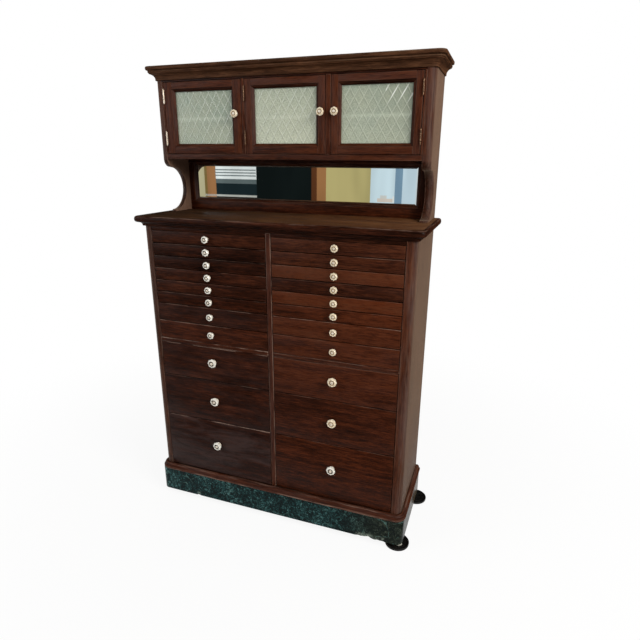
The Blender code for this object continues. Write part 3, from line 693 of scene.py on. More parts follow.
def make_mouldings():
    piece = Piece("cornice_moulding", WEATHERED)
    # Rubbed bands on the fillets and the bead: partly wear, partly painted highlights where they catch light
    # from above
    worn = [(0.0400, 0.0030, 0.50), (0.0255, 0.0020, 0.25), (0.0030, 0.0020, 0.20)]
    tone, top = (0.02, 0.1, 0.04), (0.06, 0.0, 0.7)
    moulding(piece, CORNICE_PROFILE, CORNICE_BOTTOM, UPPER_FACE_Y, CORNICE_CORNER, worn, tone, top, 0.3)
    piece.make("case", ["cornice"])

    piece = Piece("counter_slab", MAHOGANY, WEATHERED)
    # The band along the top of the nose is rubbed wear and also a painted highlight
    worn = [(0.0312, 0.0016, 0.60), (0.0200, 0.0030, 0.05), (0.0015, 0.0015, 0.10)]
    tone = (-0.05, 0.3, 0.0)
    moulding(piece, COUNTER_PROFILE, COUNTER_BOTTOM, FRONT_Y, COUNTER_CORNER, worn, tone, counter_sheen_tone, 0.15)
    piece.make("case", ["counter_top"])

    piece = Piece("base_moulding", MAHOGANY)
    # The band on the lower bead is a painted highlight where it catches the light; the one on the top edge is
    # rubbed wear
    worn = [(0.0200, 0.0020, 0.55), (0.0045, 0.0032, 0.90)]
    tone, top = (0.03, 0.35, 0.20), (-0.08, 0.2, 0.0)
    moulding(piece, BASE_PROFILE, PLINTH_TOP + GAP, FRONT_Y, BASE_CORNER, worn, tone, top, 0.2, grows=True)
    piece.make("case", ["base_board"])


# Lines between the drawers, from the top down, and half the stile between their columns
SHALLOW_LINES = [DRAWERS_TOP, 0.9865, 0.9450, 0.9035, 0.8620, 0.8205, 0.7790, 0.7175, MID_RAIL[1]]
DEEP_LINES = [MID_RAIL[0], 0.5130, 0.3530, BASE_TOP]
DRAWER_ROWS = [(low, high) for lines in (SHALLOW_LINES, DEEP_LINES) for high, low in zip(lines, lines[1:])]
FIRST_DEEP_ROW = len(SHALLOW_LINES) - 1
LAST_ROW = len(DRAWER_ROWS) - 1
STILE_HALF = 0.0087
STILE_GAP = 0.0001
COLUMNS = {"left": (-POST_INNER, -STILE_HALF), "right": (STILE_HALF, POST_INNER)}

FRONT_TONE = (0.05, 0.25, 0.26)
LEFT_POST_TONE = (0.01, 0.20, 0.24)
# The side's pale haze is faded polish and also a painted sheen of the light at a grazing view
SIDE_TONE = (0.0, 0.0, 0.92)
# Painted light: the upper sides are lighter, against the shade of the cornice
UPPER_SIDE_LIT_TONE = (0.07, 0.0, 0.88)
# Painted light: the inner faces are paler, lifting them out of the shade of the niche
INSIDE_LIT_TONE = (0.29, 0.3, 0.95)
# Painted shade: the hollow of a bracket, below the upper post, is darker
COVE_SHADE_TONE = (-0.06, 0.30, 0.0)
# Share of the side's tone at the end of a post's round, and how it gathers on the way there
CORNER_SHARE = 0.94
CORNER_CURVE = 1.25
# Strongest painted highlight down the round of a post, and how far the polish is rubbed at the two points of
# its inner edge
CORNER_HIGHLIGHT = 0.30
EDGE_WEAR = [0.5, 0.3]
POST_DEPTH = 0.036
POST_EASE = 0.0014
RUNNER_REACH = 0.012
RUNNER_RISE = (0.0009, 0.0043)


def post_tones(corner_points, dulled_and_sheen=1.0, front=FRONT_TONE, side=SIDE_TONE):
    """The polish is deep on the front of a post, and dulls round its corner and back along the side, where
    the pale tone is also a painted sheen.
    """
    turns = [CORNER_SHARE * (step / (corner_points - 1)) ** CORNER_CURVE for step in range(corner_points)]
    shares = [0.0, 0.0, *turns, 1.0]
    return [blend(front, side, dulled_and_sheen * share) for share in shares]


def post_wear_and_highlight(corner_points, plain_points):
    """Rubbed along the inner edge of a post, and a painted highlight down the middle of its round."""
    turns = [CORNER_HIGHLIGHT * math.sin(math.pi * step / (corner_points - 1)) for step in range(corner_points)]
    return EDGE_WEAR + turns + [0.0] * plain_points


def make_lower_sides():
    """Side panels with their rounded posts, and the strips that the drawers run on."""
    post_back = FRONT_Y + POST_DEPTH
    low, high = BASE_TOP + GAP, COUNTER_BOTTOM - GAP
    # Heights, and how far the polish of the side has dulled there and carries its painted sheen
    levels = [(low, 0.34), (low + 0.06, 0.45), (low + 0.20, 0.66), ((low + high) / 2, 0.95), (high, 0.97)]
    depth = (FRONT_Y + FRONT_THICKNESS, BACK_FRONT_Y - 2 * GAP)
    for side, hand, front in (("left", -1, LEFT_POST_TONE), ("right", 1, FRONT_TONE)):
        piece = Piece(f"lower_side_{side}_panel", DULLED, INNER_WOOD)
        _, corner = front_corners(HALF_WIDTH, FRONT_Y, LOWER_CORNER)
        plan = [(POST_INNER, FRONT_Y + POST_EASE), (POST_INNER + POST_EASE, FRONT_Y), *corner]
        plan += [(HALF_WIDTH, BACK_Y), (LOWER_SIDE_INNER, BACK_Y)]
        plan += [(LOWER_SIDE_INNER, post_back), (POST_INNER, post_back)]
        plan = [(hand * x, y) for x, y in plan]
        loops = [[(x, y, z) for x, y in plan] for z, _ in levels]
        grain = [[(z, s, 0.0) for s in distances(plan)] for z, _ in levels]
        tones = [post_tones(len(corner), dulled_and_sheen, front) + [INSIDE_LIT_TONE] * 3 for _, dulled_and_sheen in levels]
        piece.solid(loops, grain, "x", tone=tones, wear=[post_wear_and_highlight(len(corner), 4)] * len(levels))
        strip = sorted((hand * (POST_INNER - RUNNER_REACH), hand * LOWER_SIDE_INNER))
        for bottom, _ in DRAWER_ROWS:
            rise = (bottom + RUNNER_RISE[0], bottom + RUNNER_RISE[1])
            piece.board(strip, depth, rise, "y", slot=1, rounding=0.0006)
        piece.make("case", [f"lower_side_{side}"])


def make_lower_frame():
    """Stile between the drawer columns and the rails above and below the shallow drawers."""
    piece = Piece("lower_frame_boards", MAHOGANY)
    depth = (FRONT_Y, FRONT_Y + FACE_DEPTH)
    low, high = BASE_TOP + GAP, COUNTER_BOTTOM - GAP
    near, far = STILE_HALF + STILE_GAP, POST_INNER - GAP
    stile = (-STILE_HALF, STILE_HALF)
    piece.board(stile, depth, (low, high), "z", tone=(0.04, 0.25, 0.24), rounding=0.0022, wear=0.6)
    # The rails under the counter are painted darker: painted shade under its overhang
    for x, worn in (((-far, -near), 0.9), ((near, far), 0.45)):
        piece.board(x, depth, MID_RAIL, "x", tone=(0.03, 0.2, 0.12), rounding=0.0018, wear=worn)
        piece.board(x, depth, (DRAWERS_TOP, high), "x", tone=(-0.03, 0.0, 0.0), rounding=0.0010, wear=0.2)
    piece.make("case", ["lower_face_frame"])


BACK_BOARDS = 7
BOARD_JOINT = 0.0002
BOARD_SHADE = 0.012
# Nails of the backs: inset from a board's edges and ends, and rings of a head
NAIL_ASIDE = 0.022
NAIL_UP = 0.020
NAIL_RINGS = in_metres([(2.6, 0.0), (2.2, 1.0)])


def make_backs():
    """Plain upright boards behind both stages, with a fine joint between each two, and their nails."""
    depth = (BACK_FRONT_Y, BACK_Y - BOARD_JOINT)
    nail_y = BACK_Y - NAIL_RINGS[-1][1]
    for name, half, heights in (
        ("lower_back", LOWER_SIDE_INNER - GAP, (BASE_TOP + GAP, COUNTER_BOTTOM - GAP)),
        ("upper_back", UPPER_SIDE_INNER - GAP, (COUNTER_TOP + GAP, CORNICE_BOTTOM - GAP)),
    ):
        piece = Piece(name + "_boards", INNER_WOOD, BLACK)
        width = 2 * half / BACK_BOARDS
        for index in range(BACK_BOARDS):
            left = -half + index * width
            tone = (BOARD_SHADE * (index * 5 % BACK_BOARDS - BACK_BOARDS // 2), 0.3, 0.15)
            piece.board((left, left + width - BOARD_JOINT), depth, heights, "z", tone=tone, rounding=0.0018)
            for x in (left + NAIL_ASIDE, left + width - NAIL_ASIDE):
                for z in (heights[0] + NAIL_UP, heights[1] - NAIL_UP):
                    piece.lathe((x, nail_y, z), (0, 1, 0), NAIL_RINGS, 10, slot=1)
        piece.make("case", [name])


BRACKET_ROUND = 0.026
BRACKET_SETBACK = 0.027
BRACKET_TOE = 0.0055
COVE_SWEEP = 162
COVE_STEPS = 24
ROUND_STEPS = 8
UPPER_EASE = 0.0012
SHELF = (1.370, 1.382)
SHELF_SETBACK = 0.032
CLEAT = (1.3597, 1.3697)
CLEAT_INNER = 0.421
CLEAT_END = 0.010


def bracket_levels():
    """(height, y of the front edge) up the upper side: toe, cove, round at the post's foot, post."""
    radius = (UPPER_BOTTOM - COUNTER_TOP - BRACKET_ROUND - BRACKET_TOE) / 2
    centre = UPPER_BOTTOM - BRACKET_ROUND - radius
    cove = UPPER_FACE_Y + BRACKET_SETBACK
    levels = [(COUNTER_TOP + GAP, cove)]
    for step in range(COVE_STEPS + 1):
        turn = math.radians(-90 + COVE_SWEEP * step / COVE_STEPS)
        levels.append((centre + radius * math.sin(turn), cove + radius * math.cos(turn)))
    for step in range(ROUND_STEPS + 1):
        turn = math.radians(90 * step / ROUND_STEPS)
        front = UPPER_FACE_Y + BRACKET_ROUND * (1 - math.sin(turn))
        levels.append((UPPER_BOTTOM - BRACKET_ROUND * math.cos(turn), front))
    return levels + [(CORNICE_BOTTOM - GAP, UPPER_FACE_Y)]


def make_upper_sides():
    """Side panels with their posts and brackets, and the cleats that carry the shelf."""
    for side, hand in (("left", -1), ("right", 1)):
        piece = Piece(f"upper_side_{side}_panel", DULLED, INNER_WOOD)
        loops, grain, tones, wear = [], [], [], []
        for height, front in bracket_levels():
            _, corner = front_corners(HALF_WIDTH, front, UPPER_CORNER)
            plan = [(UPPER_SIDE_INNER, front + UPPER_EASE), (UPPER_SIDE_INNER + UPPER_EASE, front), *corner]
            plan += [(HALF_WIDTH, BACK_Y), (UPPER_SIDE_INNER, BACK_Y)]
            plan = [(hand * x, y) for x, y in plan]
            loops.append([(x, y, height) for x, y in plan])
            grain.append([(height, x, y) for x, y in plan])
            hollow = COUNTER_TOP + BRACKET_TOE < height < UPPER_BOTTOM
            outside = post_tones(len(corner), 1.0, COVE_SHADE_TONE if hollow else FRONT_TONE, UPPER_SIDE_LIT_TONE)
            tones.append([INSIDE_LIT_TONE, *outside[1:], INSIDE_LIT_TONE])
            wear.append(post_wear_and_highlight(len(corner), 2))
        piece.solid(loops, grain, "x", tone=tones, wear=wear)
        cleat = sorted((hand * CLEAT_INNER, hand * UPPER_SIDE_INNER))
        depth = (UPPER_FACE_Y + 2 * FACE_DEPTH, BACK_FRONT_Y - CLEAT_END)
        piece.board(cleat, depth, CLEAT, "y", slot=1, rounding=0.0008)
        piece.make("case", [f"upper_side_{side}"])


MULLIONS = [(-0.141382, -0.131382), (0.137583, 0.153183)]
MULLION_GAP = 0.0001


def make_upper_frame():
    """Rails, end stiles and mullions round the door openings; floor board and shelf behind them."""
    piece = Piece("upper_frame_boards", MAHOGANY)
    depth = (UPPER_FACE_Y, UPPER_FACE_Y + FACE_DEPTH)
    edge = UPPER_SIDE_INNER - GAP
    across = (-edge, edge)
    foot, head = (UPPER_BOTTOM, OPENING[0]), (OPENING[1], CORNICE_BOTTOM - GAP)
    piece.board(across, depth, foot, "x", tone=(0.04, 0.20, 0.14), rounding=0.0016)
    piece.board(across, depth, head, "x", tone=(-0.04, 0.0, 0.0), rounding=0.0006)
    between = (OPENING[0] + MULLION_GAP, OPENING[1] - MULLION_GAP)
    for x in ((-edge, -POST_INNER), (POST_INNER, edge), *MULLIONS):
        piece.board(x, depth, between, "z", tone=(0.05, 0.35, 0.06), rounding=0.0014, wear=0.45)
    piece.make("case", ["upper_face_frame"])

    ends = BACK_FRONT_Y - GAP
    piece = Piece("upper_floor_board", INNER_WOOD)
    depth = (UPPER_FACE_Y + FACE_DEPTH + GAP, ends)
    piece.board(across, depth, foot, "x", tone=(-0.06, 0.4, 0.2))
    piece.make("case", ["upper_floor"])
    piece = Piece("shelf_board", INNER_WOOD)
    depth = (UPPER_FACE_Y + SHELF_SETBACK, ends)
    piece.board(across, depth, SHELF, "x", tone=(0.10, 0.0, 0.0), rounding=0.003)
    piece.make("case", ["shelf"])


# Points of a mitred section that are rubbed most, and the share of that wear on the rest
RUBBED_POINTS = (0, 2)
FACE_WEAR = 0.3


def mitred(piece, x, z, face, boards, section, tones=(PLAIN,) * 4, wear=0.0):
    """Four mitred strips round an opening, foot first; section lists (inset past the boards, depth)."""
    side, foot, head = boards
    corners = []
    for past, depth in section:
        span = (x[0] + side + past, x[1] - side - past)
        rise = (z[0] + foot + past, z[1] - head - past)
        corners.append(rectangle(span, face + depth, rise))
    across = distances(section)
    made = []
    for start, axis in ((0, 0), (1, 2), (2, 0), (3, 2)):
        strip = [[ring[start], ring[(start + 1) % 4]] for ring in corners]
        grain = [[(point[axis], at, 0.0) for point in pair] for at, pair in zip(across, strip)]
        rubbed = [[wear * (1.0 if index in RUBBED_POINTS else FACE_WEAR)] * 2 for index in range(len(strip))]
        rows = piece.skin(strip, grain, 0, tones[start], rubbed, closed=True, around=False, smooth=False)
        made += [vert for row in rows for vert in row]
    piece.weld(made)


MIRROR_FRONT_Y = 0.098
MIRROR_X = (-0.4062, 0.4062)
MIRROR_Z = (1.1091, 1.2354)
MIRROR_FRAME_DEPTH = 0.024
MIRROR_STILE, MIRROR_FOOT, MIRROR_HEAD = 0.0207, 0.032, 0.011
MIRROR_SLIP = in_metres([(0.0, 0.6), (2.2, 1.0), (5.5, 3.6), (8.5, 6.0), (8.5, 7.9), (0.0, 7.9)])
# The plate from its back to the flat inside its bevel: inset, distance behind the frame's face, and age
PLATE_RINGS = [(0.0, 0.0133, 0.9), (0.0, 0.0096, 0.9), (0.0090, 0.0083, 0.0)]


def make_mirror():
    edge = UPPER_SIDE_INNER - GAP
    across = (-edge, edge)
    z = (COUNTER_TOP + GAP, UPPER_BOTTOM - GAP)
    low, high = z[0] + MIRROR_FOOT, z[1] - MIRROR_HEAD
    front = MIRROR_FRONT_Y
    depth = (front, front + MIRROR_FRAME_DEPTH)
    piece = Piece("mirror_frame_boards", MAHOGANY)
    piece.board(across, depth, (z[0], low), "x", tone=(0.0, 0.4, 0.0), rounding=0.0014, wear=0.3)
    piece.board(across, depth, (high, z[1]), "x", rounding=0.0010)
    for x in ((-edge, -edge + MIRROR_STILE), (edge - MIRROR_STILE, edge)):
        piece.board(x, depth, (low, high), "z", rounding=0.0010)
    # The left strip of the slip is painted hazy: a painted sheen where it faces the light
    tones = (PLAIN, PLAIN, PLAIN, (0.0, 0.0, 0.45))
    boards = (MIRROR_STILE, MIRROR_FOOT, MIRROR_HEAD)
    mitred(piece, across, z, front, boards, MIRROR_SLIP, tones, wear=0.3)
    piece.make("case", ["mirror_frame"])

    piece = Piece("mirror_plate", MIRROR)
    loops, wear = [], []
    for inset, behind, age in PLATE_RINGS:
        span = (MIRROR_X[0] + inset, MIRROR_X[1] - inset)
        rise = (MIRROR_Z[0] + inset, MIRROR_Z[1] - inset)
        loops.append(rectangle(span, front + behind, rise))
        wear.append([age] * 4)
    piece.solid(loops, loops, "x", wear=wear, smooth=False)
    piece.make("case", ["mirror"], sharp=3)


# Rings of a pressed-glass knob: share of the radius, share of the reach, share of the eight-sided outline
GLASS_RINGS = [
    (0.46, 0.12, 0.0), (0.44, 0.22, 0.0), (0.50, 0.32, 0.2), (0.76, 0.42, 0.7), (0.94, 0.50, 0.9),
    (1.00, 0.58, 1.0), (1.00, 0.68, 1.0), (0.95, 0.75, 1.0), (0.80, 0.87, 0.8), (0.72, 0.91, 0.4),
    (0.64, 0.92, 0.1), (0.58, 0.90, 0.0), (0.56, 0.84, 0.0),
]
CLEAR_RECESS, CREAM_RECESS = 0.66, 0.79
FERRULE_RINGS = [(0.62, 0.0), (0.64, 0.04), (0.58, 0.085), (0.54, 0.10), (0.52, 0.13), (0.30, 0.14)]
BOLT_RINGS = [(0.29, 0.64), (0.33, 0.74), (0.33, 0.86), (0.28, 0.95), (0.17, 0.99), (0.05, 1.0)]
KNOB_STEPS = 48
KNOB_SIDES = 8


def make_knob(name, centre, size, body, nodes, clear):
    """Faceted glass on a metal ferrule, held by a domed bolt that stands in a recess lined with grime and
    painted shade.
    """
    radius, reach = size
    glass, lining, floor = (WARM_REFLECTION_GLASS, PALE_GRIMY_SHADE_LINING, CREAM_RECESS)
    if clear:
        glass, lining, floor = (CLEAR_GLASS, GRIMY_SHADE_LINING, CLEAR_RECESS)
    piece = Piece(name, glass, BOLT, lining)
    out = (0.0, -1.0, 0.0)
    hollow = GLASS_RINGS + [(0.54, floor, 0.0), (0.10, floor - 0.01, 0.0)]
    for rings, steps, slot, corners, closed in (
        (hollow, KNOB_STEPS, 0, KNOB_SIDES, True),
        ([(0.55, 0.85), (0.53, floor + 0.01), (0.10, floor)], KNOB_STEPS, 2, 0, False),
        (FERRULE_RINGS, KNOB_STEPS, 1, 0, True),
        (BOLT_RINGS, KNOB_STEPS // 2, 1, 0, True),
    ):
        profile = [(radius * wide, reach * along, *share) for wide, along, *share in rings]
        piece.lathe(centre, out, profile, steps, slot, corners, closed)
    piece.make(body, nodes, sharp=28)


# Tones of the drawer fronts, from the top down; they differ board by board, and the left column is also
# painted darker as painted shade
DRAWER_TONES = {
    "left": [
        (0.00, 0.10, 0.02), (-0.05, 0.05, 0.01), (-0.06, 0.05, 0.01), (-0.02, 0.15, 0.02),
        (-0.02, 0.15, 0.02), (-0.04, 0.50, 0.00), (-0.02, 0.10, 0.10), (0.00, 0.50, 0.05),
        (-0.03, 0.30, 0.10), (-0.05, 0.40, 0.10), (-0.07, 0.20, 0.36),
    ],
    "right": [
        (0.05, 0.20, 0.05), (0.02, 0.20, 0.05), (0.12, 0.60, 0.05), (0.00, 0.10, 0.05),
        (0.10, 0.90, 0.00), (0.03, 0.70, 0.00), (0.06, 0.50, 0.02), (0.05, 0.50, 0.08),
        (0.04, 0.50, 0.06), (-0.01, 0.60, 0.02), (-0.01, 0.70, 0.00),
    ],
}
# How far the polish is rubbed off along the top edge of each front
TOP_WEAR = {
    "left": [0.20, 0.40, 0.35, 0.45, 0.50, 0.45, 0.65, 0.70, 0.80, 0.35, 0.90],
    "right": [0.20, 0.50, 0.45, 0.25, 0.35, 0.35, 0.70, 0.40, 0.30, 0.35, 0.35],
}
FRONT_THICKNESS = 0.018
SLOT_GAP = 0.0006
EASE_ACROSS = 0.0012
EASE_UPRIGHT = 0.0006
BOTTOM_GAP = 0.0028
# The box behind a front: where it ends, how far its walls stand in, and its height within the slot
BOX_END_Y = 0.124
BOX_BACK = 0.008
WALL_OUTER = 0.002
WALL_INNER = 0.010
FLOOR_RISE = 0.004
RIM_DROP = 0.006
BOX_JOINT = 0.002
BOTTOM_JOINT = 0.001
BOTTOM_RISE = (0.0005, 0.005)
TAIL_LENGTH = 0.010
TAIL_SHARES = (0.16, 0.26)
TAIL_RELIEF = 0.0002
TAIL_SINK = 0.0001
# Knobs: radius and reach, and how far those of the deep drawers sit above the middle
SMALL_KNOB = (0.0122, 0.0165)
LARGE_KNOB = (0.0160, 0.019)
DOOR_KNOB = (0.0125, 0.0165)
DEEP_KNOB_RISES = [0.008, 0.004, 0.014]


def dovetails(piece, wall, start, heights, count, tone):
    """Tails of the front board that show on the outside of a drawer's wall."""
    floor, rim = heights
    pitch = (rim - floor) / count
    end = start + TAIL_LENGTH
    for index in range(count):
        middle = floor + (index + 0.5) * pitch
        near, far = (share * pitch for share in TAIL_SHARES)
        outline = [(start, middle - near), (end, middle - far), (end, middle + far), (start, middle + near)]
        loops = [[(x, y, z) for y, z in outline] for x in (wall - TAIL_RELIEF, wall + TAIL_RELIEF)]
        piece.solid(loops, loops, "z", tone=tone, smooth=False)


def make_drawer(side, row, column, slot_heights):
    """Front board, the plain box behind it with its dovetails, and the knob."""
    name = f"drawer_{side}_{row + 1:02d}"
    tone = DRAWER_TONES[side][row]
    deep = row >= FIRST_DEEP_ROW
    left, right = column
    low, high = slot_heights[0] + SLOT_GAP, slot_heights[1] - SLOT_GAP
    piece = Piece(name + "_case", MAHOGANY, INNER_WOOD)
    face_back = FRONT_Y + FRONT_THICKNESS
    across = (left + SLOT_GAP + EASE_ACROSS, right - SLOT_GAP - EASE_ACROSS)
    rise = (low + (BOTTOM_GAP if row == LAST_ROW else EASE_UPRIGHT), high - EASE_UPRIGHT)
    depth = (FRONT_Y, face_back)
    worn = TOP_WEAR[side][row]
    piece.board(across, depth, rise, "x", tone=tone, rounding=0.0016, wear=0.12, top_wear=worn)

    walls = (low + FLOOR_RISE, high - RIM_DROP)
    inner = (left + WALL_INNER, right - WALL_INNER)
    ends = (face_back - BOX_JOINT, BOX_END_Y)
    inside_end = BOX_END_Y - BOX_BACK
    for x, y, along in (
        ((left + WALL_OUTER, inner[0]), ends, "y"),
        ((inner[1], right - WALL_OUTER), ends, "y"),
        (inner, (inside_end, BOX_END_Y), "x"),
    ):
        piece.board(x, y, walls, along, slot=1, rounding=0.0010)
    wide = (inner[0] - BOTTOM_JOINT, inner[1] + BOTTOM_JOINT)
    bottom = (walls[0] + BOTTOM_RISE[0], walls[0] + BOTTOM_RISE[1])
    piece.board(wide, (ends[0], inside_end + BOTTOM_JOINT), bottom, "x", slot=1)
    for wall in (left + WALL_OUTER - TAIL_SINK, right - WALL_OUTER + TAIL_SINK):
        dovetails(piece, wall, face_back + TAIL_RELIEF, walls, 4 if deep else 2, tone)
    piece.make(name, [name])

    above = DEEP_KNOB_RISES[row - FIRST_DEEP_ROW] if deep else 0.0
    centre = ((left + right) / 2, FRONT_Y, (slot_heights[0] + slot_heights[1]) / 2 + above)
    clear = side == "left" or row == LAST_ROW
    make_knob(name + "_knob", centre, LARGE_KNOB if deep else SMALL_KNOB, name, [], clear)


def make_drawers():
    for side, column in COLUMNS.items():
        for row, slot_heights in enumerate(DRAWER_ROWS):
            make_drawer(side, row, column, slot_heights)


# Doors: width of the stiles, distance of the knob from the closing edge, and 1 if that is on the right
DOORS = {1: (0.0275, 0.020, 1), 2: (0.0215, 0.0125, 1), 3: (0.0205, 0.0125, -1)}
DOOR_HEAD = 0.020
DOOR_FOOT = 0.0215
DOOR_KNOB_RISE = 0.010
# The door boards are painted lighter and hazier than the drawers: painted light, and a painted reflection of
# the window
DOOR_TONE = (0.07, 0.30, 0.20)
DOOR_FOOT_TONE = (0.03, 0.40, 0.08)
# Sections of the moulding before a pane and of the bead behind it, in millimetres
DOOR_SLIP = in_metres(
    [(-0.4, 1.2), (1.0, 2.6), (2.0, 2.6), (5.5, 5.0), (9.0, 9.0), (9.0, 10.8), (-0.4, 10.8)]
)
DOOR_BEAD = in_metres([(-0.4, 15.8), (9.0, 15.8), (9.0, 17.6), (6.6, 19.6), (-0.4, 19.6)])
# Tones of the moulding round a pane: foot, right, head and left strip; the head is darker as painted shade
# under the rail, and the left hazy as a painted sheen where it faces the light
SLIP_LIGHT_AND_SHADE = ((0.02, 0.3, 0.03), (-0.02, 0.3, 0.0), (-0.05, 0.2, 0.0), (0.06, 0.3, 0.50))
DIAMOND = (0.028, 0.0465)
PANE_STEP = 0.0012
RIB_HEIGHT = 0.0009
RIB_WIDTH = 0.0013
SWELL = 0.0004
# How far below a rib its painted shade lies, and how dark that painted shade is
FLANK = 0.0040
FLANK_SHADE = 0.28
# Height, reach and strength of the band painted paler on the glass before the shelf, as painted light of the
# lit shelf behind it
SHELF_LIGHT_BAND = (1.376, 0.006, 0.22)
# Painted light and shade of each pane: its paler share at the head and at the foot, and its darker share at
# the right edge
PANE_LIGHT_AND_SHADE = {1: (0.00, 0.30, 0.10), 2: (0.45, 0.95, 0.10), 3: (0.15, 0.45, 0.42)}
# What is left of the painted highlight on the falling ribs at a pane's left edge, and of the painted shade of
# its right edge at the foot
FALL_FADE = 0.35
EDGE_FADE = 0.4
# Where the lattice of each pane starts, and how strongly the painted highlights on its falling and its rising
# ribs show
PANE_LATTICE = {
    1: (0.0060, 0.0040, 0.55, 0.18),
    2: (0.0024, 0.0131, 0.62, 0.20),
    3: (-0.0107, 0.0024, 0.45, 0.34),
}
# Ribs of one pane that carry a painted glint of light: its number, and where along and up it they do
GLINT_PANE = 3
GLINT_FROM = 0.62
GLINT_UP = (0.84, 0.11)


def lattice(x, z):
    """Heights of the falling and the rising ribs at a place, as shares, and the swell between them."""
    u = x / DIAMOND[0] + z / DIAMOND[1]
    v = x / DIAMOND[0] - z / DIAMOND[1]
    pitch = DIAMOND[0] * DIAMOND[1] / math.hypot(*DIAMOND)
    ribs = [bell(abs(line - round(line)) * pitch, 0.0, RIB_WIDTH) for line in (u, v)]
    return *ribs, abs(math.sin(math.pi * u) * math.sin(math.pi * v))


def make_pane(number):
    """Rolled glass whose lattice stands out of the front face; its ribs carry painted highlights and shade,
    and it is painted paler where the lit shelf is close behind.
    """
    low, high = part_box(f"door_{number}_pane")
    piece = Piece(f"door_{number}_glass", PANE)
    columns = round((high.x - low.x) / PANE_STEP)
    rows = round((high.z - low.z) / PANE_STEP)
    middle = (low + high) / 2
    plane = low.y + RIB_HEIGHT + SWELL
    head_light, foot_light, edge_shade = PANE_LIGHT_AND_SHADE[number]
    start_x, start_z, fall_highlight, rise_highlight = PANE_LATTICE[number]
    shelf_z, shelf_reach, shelf_light = SHELF_LIGHT_BAND
    grid, pale, shade = [], [], []
    for row in range(rows + 1):
        up = row / rows
        z = low.z + (high.z - low.z) * up
        band = shelf_light * bell(z, shelf_z, shelf_reach)
        line, shares, tones = [], [], []
        for column in range(columns + 1):
            over = column / columns
            x = low.x + (high.x - low.x) * over
            inner = 0 < row < rows and 0 < column < columns
            fall, rise, swell = (0.0, 0.0, 0.0)
            if inner:
                fall, rise, swell = lattice(x - middle.x - start_x, z - middle.z - start_z)
            line.append((x, plane - RIB_HEIGHT * max(fall, rise) - SWELL * swell, z))
            # Painted highlights on the ribs and the painted light of the shelf band, then the painted glint
            # and the painted shade
            fade = FALL_FADE + (1 - FALL_FADE) * over
            shares.append(max(fall_highlight * fall * fade, rise_highlight * rise) + band)
            glint = 0.0
            if number == GLINT_PANE and over > GLINT_FROM:
                glint = rise * bell(up, *GLINT_UP)
            below, beside, _ = lattice(x - middle.x - start_x, z - middle.z - start_z + FLANK)
            edge = edge_shade * over**2 * (EDGE_FADE + (1 - EDGE_FADE) * up)
            shaded = edge + FLANK_SHADE * max(below, beside)
            tones.append((foot_light + (head_light - foot_light) * up, glint, shaded))
        grid.append(line)
        pale.append(shares)
        shade.append(tones)
    front = piece.skin(grid, grid, tone=shade, wear=pale, around=False)
    right_edge = [line[-1] for line in grid[1:]]
    left_edge = [line[0] for line in grid[-2:0:-1]]
    border = grid[0] + right_edge + grid[-1][-2::-1] + left_edge
    behind = [(x, high.y, z) for x, _, z in border]
    rim = piece.skin([border, behind], [border, behind], smooth=False)
    piece.flat([piece.shape.faces.new(rim[1])], "z")
    piece.weld([vert for line in front for vert in line] + rim[0])
    piece.make(f"door_{number}", [f"door_{number}_pane"], sharp=60)


def make_door(number, stile, knob_inset, closing_hand):
    """Frame with its mouldings, the pane and the knob."""
    body = f"door_{number}"
    low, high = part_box(f"door_{number}_frame")
    depth = (low.y, high.y)
    height = (low.z, high.z)
    piece = Piece(f"door_{number}_boards", MAHOGANY)
    for x in ((low.x, low.x + stile), (high.x - stile, high.x)):
        piece.board(x, depth, height, "z", tone=DOOR_TONE)
    inner = (low.x + stile, high.x - stile)
    piece.board(inner, depth, (low.z, low.z + DOOR_FOOT), "x", tone=DOOR_FOOT_TONE)
    piece.board(inner, depth, (high.z - DOOR_HEAD, high.z), "x", tone=DOOR_TONE)
    boards = (stile, DOOR_FOOT, DOOR_HEAD)
    mitred(piece, (low.x, high.x), height, low.y, boards, DOOR_SLIP, SLIP_LIGHT_AND_SHADE, wear=0.12)
    mitred(piece, (low.x, high.x), height, low.y, boards, DOOR_BEAD)
    piece.make(body, [f"door_{number}_frame"])

    make_pane(number)
    knob_x = high.x - knob_inset if closing_hand > 0 else low.x + knob_inset
    centre = (knob_x, low.y - GAP, (low.z + high.z) / 2 + DOOR_KNOB_RISE)
    make_knob(f"door_{number}_pull", centre, DOOR_KNOB, body, [f"door_{number}_knob"], False)


# Rings of a hinge's ball end and of the lower half of a knuckle, in millimetres
BALL_RINGS = in_metres([(0.3, 0.0), (1.4, 0.4), (1.8, 1.2), (1.4, 2.0)])
KNUCKLE_RINGS = in_metres([(1.6, 0.1), (2.1, 0.5)])
KNUCKLES = 5
BARREL_DEPTH = 0.0030
LEAF_HALF = 0.0006
LEAF_BEHIND = 0.0015
LEAF_END = 0.003


def make_hinge(node, metal):
    """Barrel of five knuckles with ball ends, and the leaf let into the gap beside the door."""
    low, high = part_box(node)
    x = (low.x + high.x) / 2
    y = low.y + BARREL_DEPTH
    piece = Piece(node + "_barrel", metal)
    tip = high.z - low.z
    ball = BALL_RINGS[-1][1]
    knuckle = (tip - 2 * ball) / KNUCKLES
    profile = list(BALL_RINGS)
    for index in range(KNUCKLES):
        start = ball + index * knuckle
        profile += [(radius, start + along) for radius, along in KNUCKLE_RINGS]
        profile += [(radius, start + knuckle - along) for radius, along in reversed(KNUCKLE_RINGS)]
    profile += [(radius, tip - along) for radius, along in reversed(BALL_RINGS)]
    piece.lathe((x, y, low.z), (0, 0, 1), profile, 20)
    leaf = (low.z + LEAF_END, high.z - LEAF_END)
    piece.board((x - LEAF_HALF, x + LEAF_HALF), (y + LEAF_BEHIND, high.y), leaf, "z", rounding=0.0002)
    piece.make("case", [node], sharp=50)


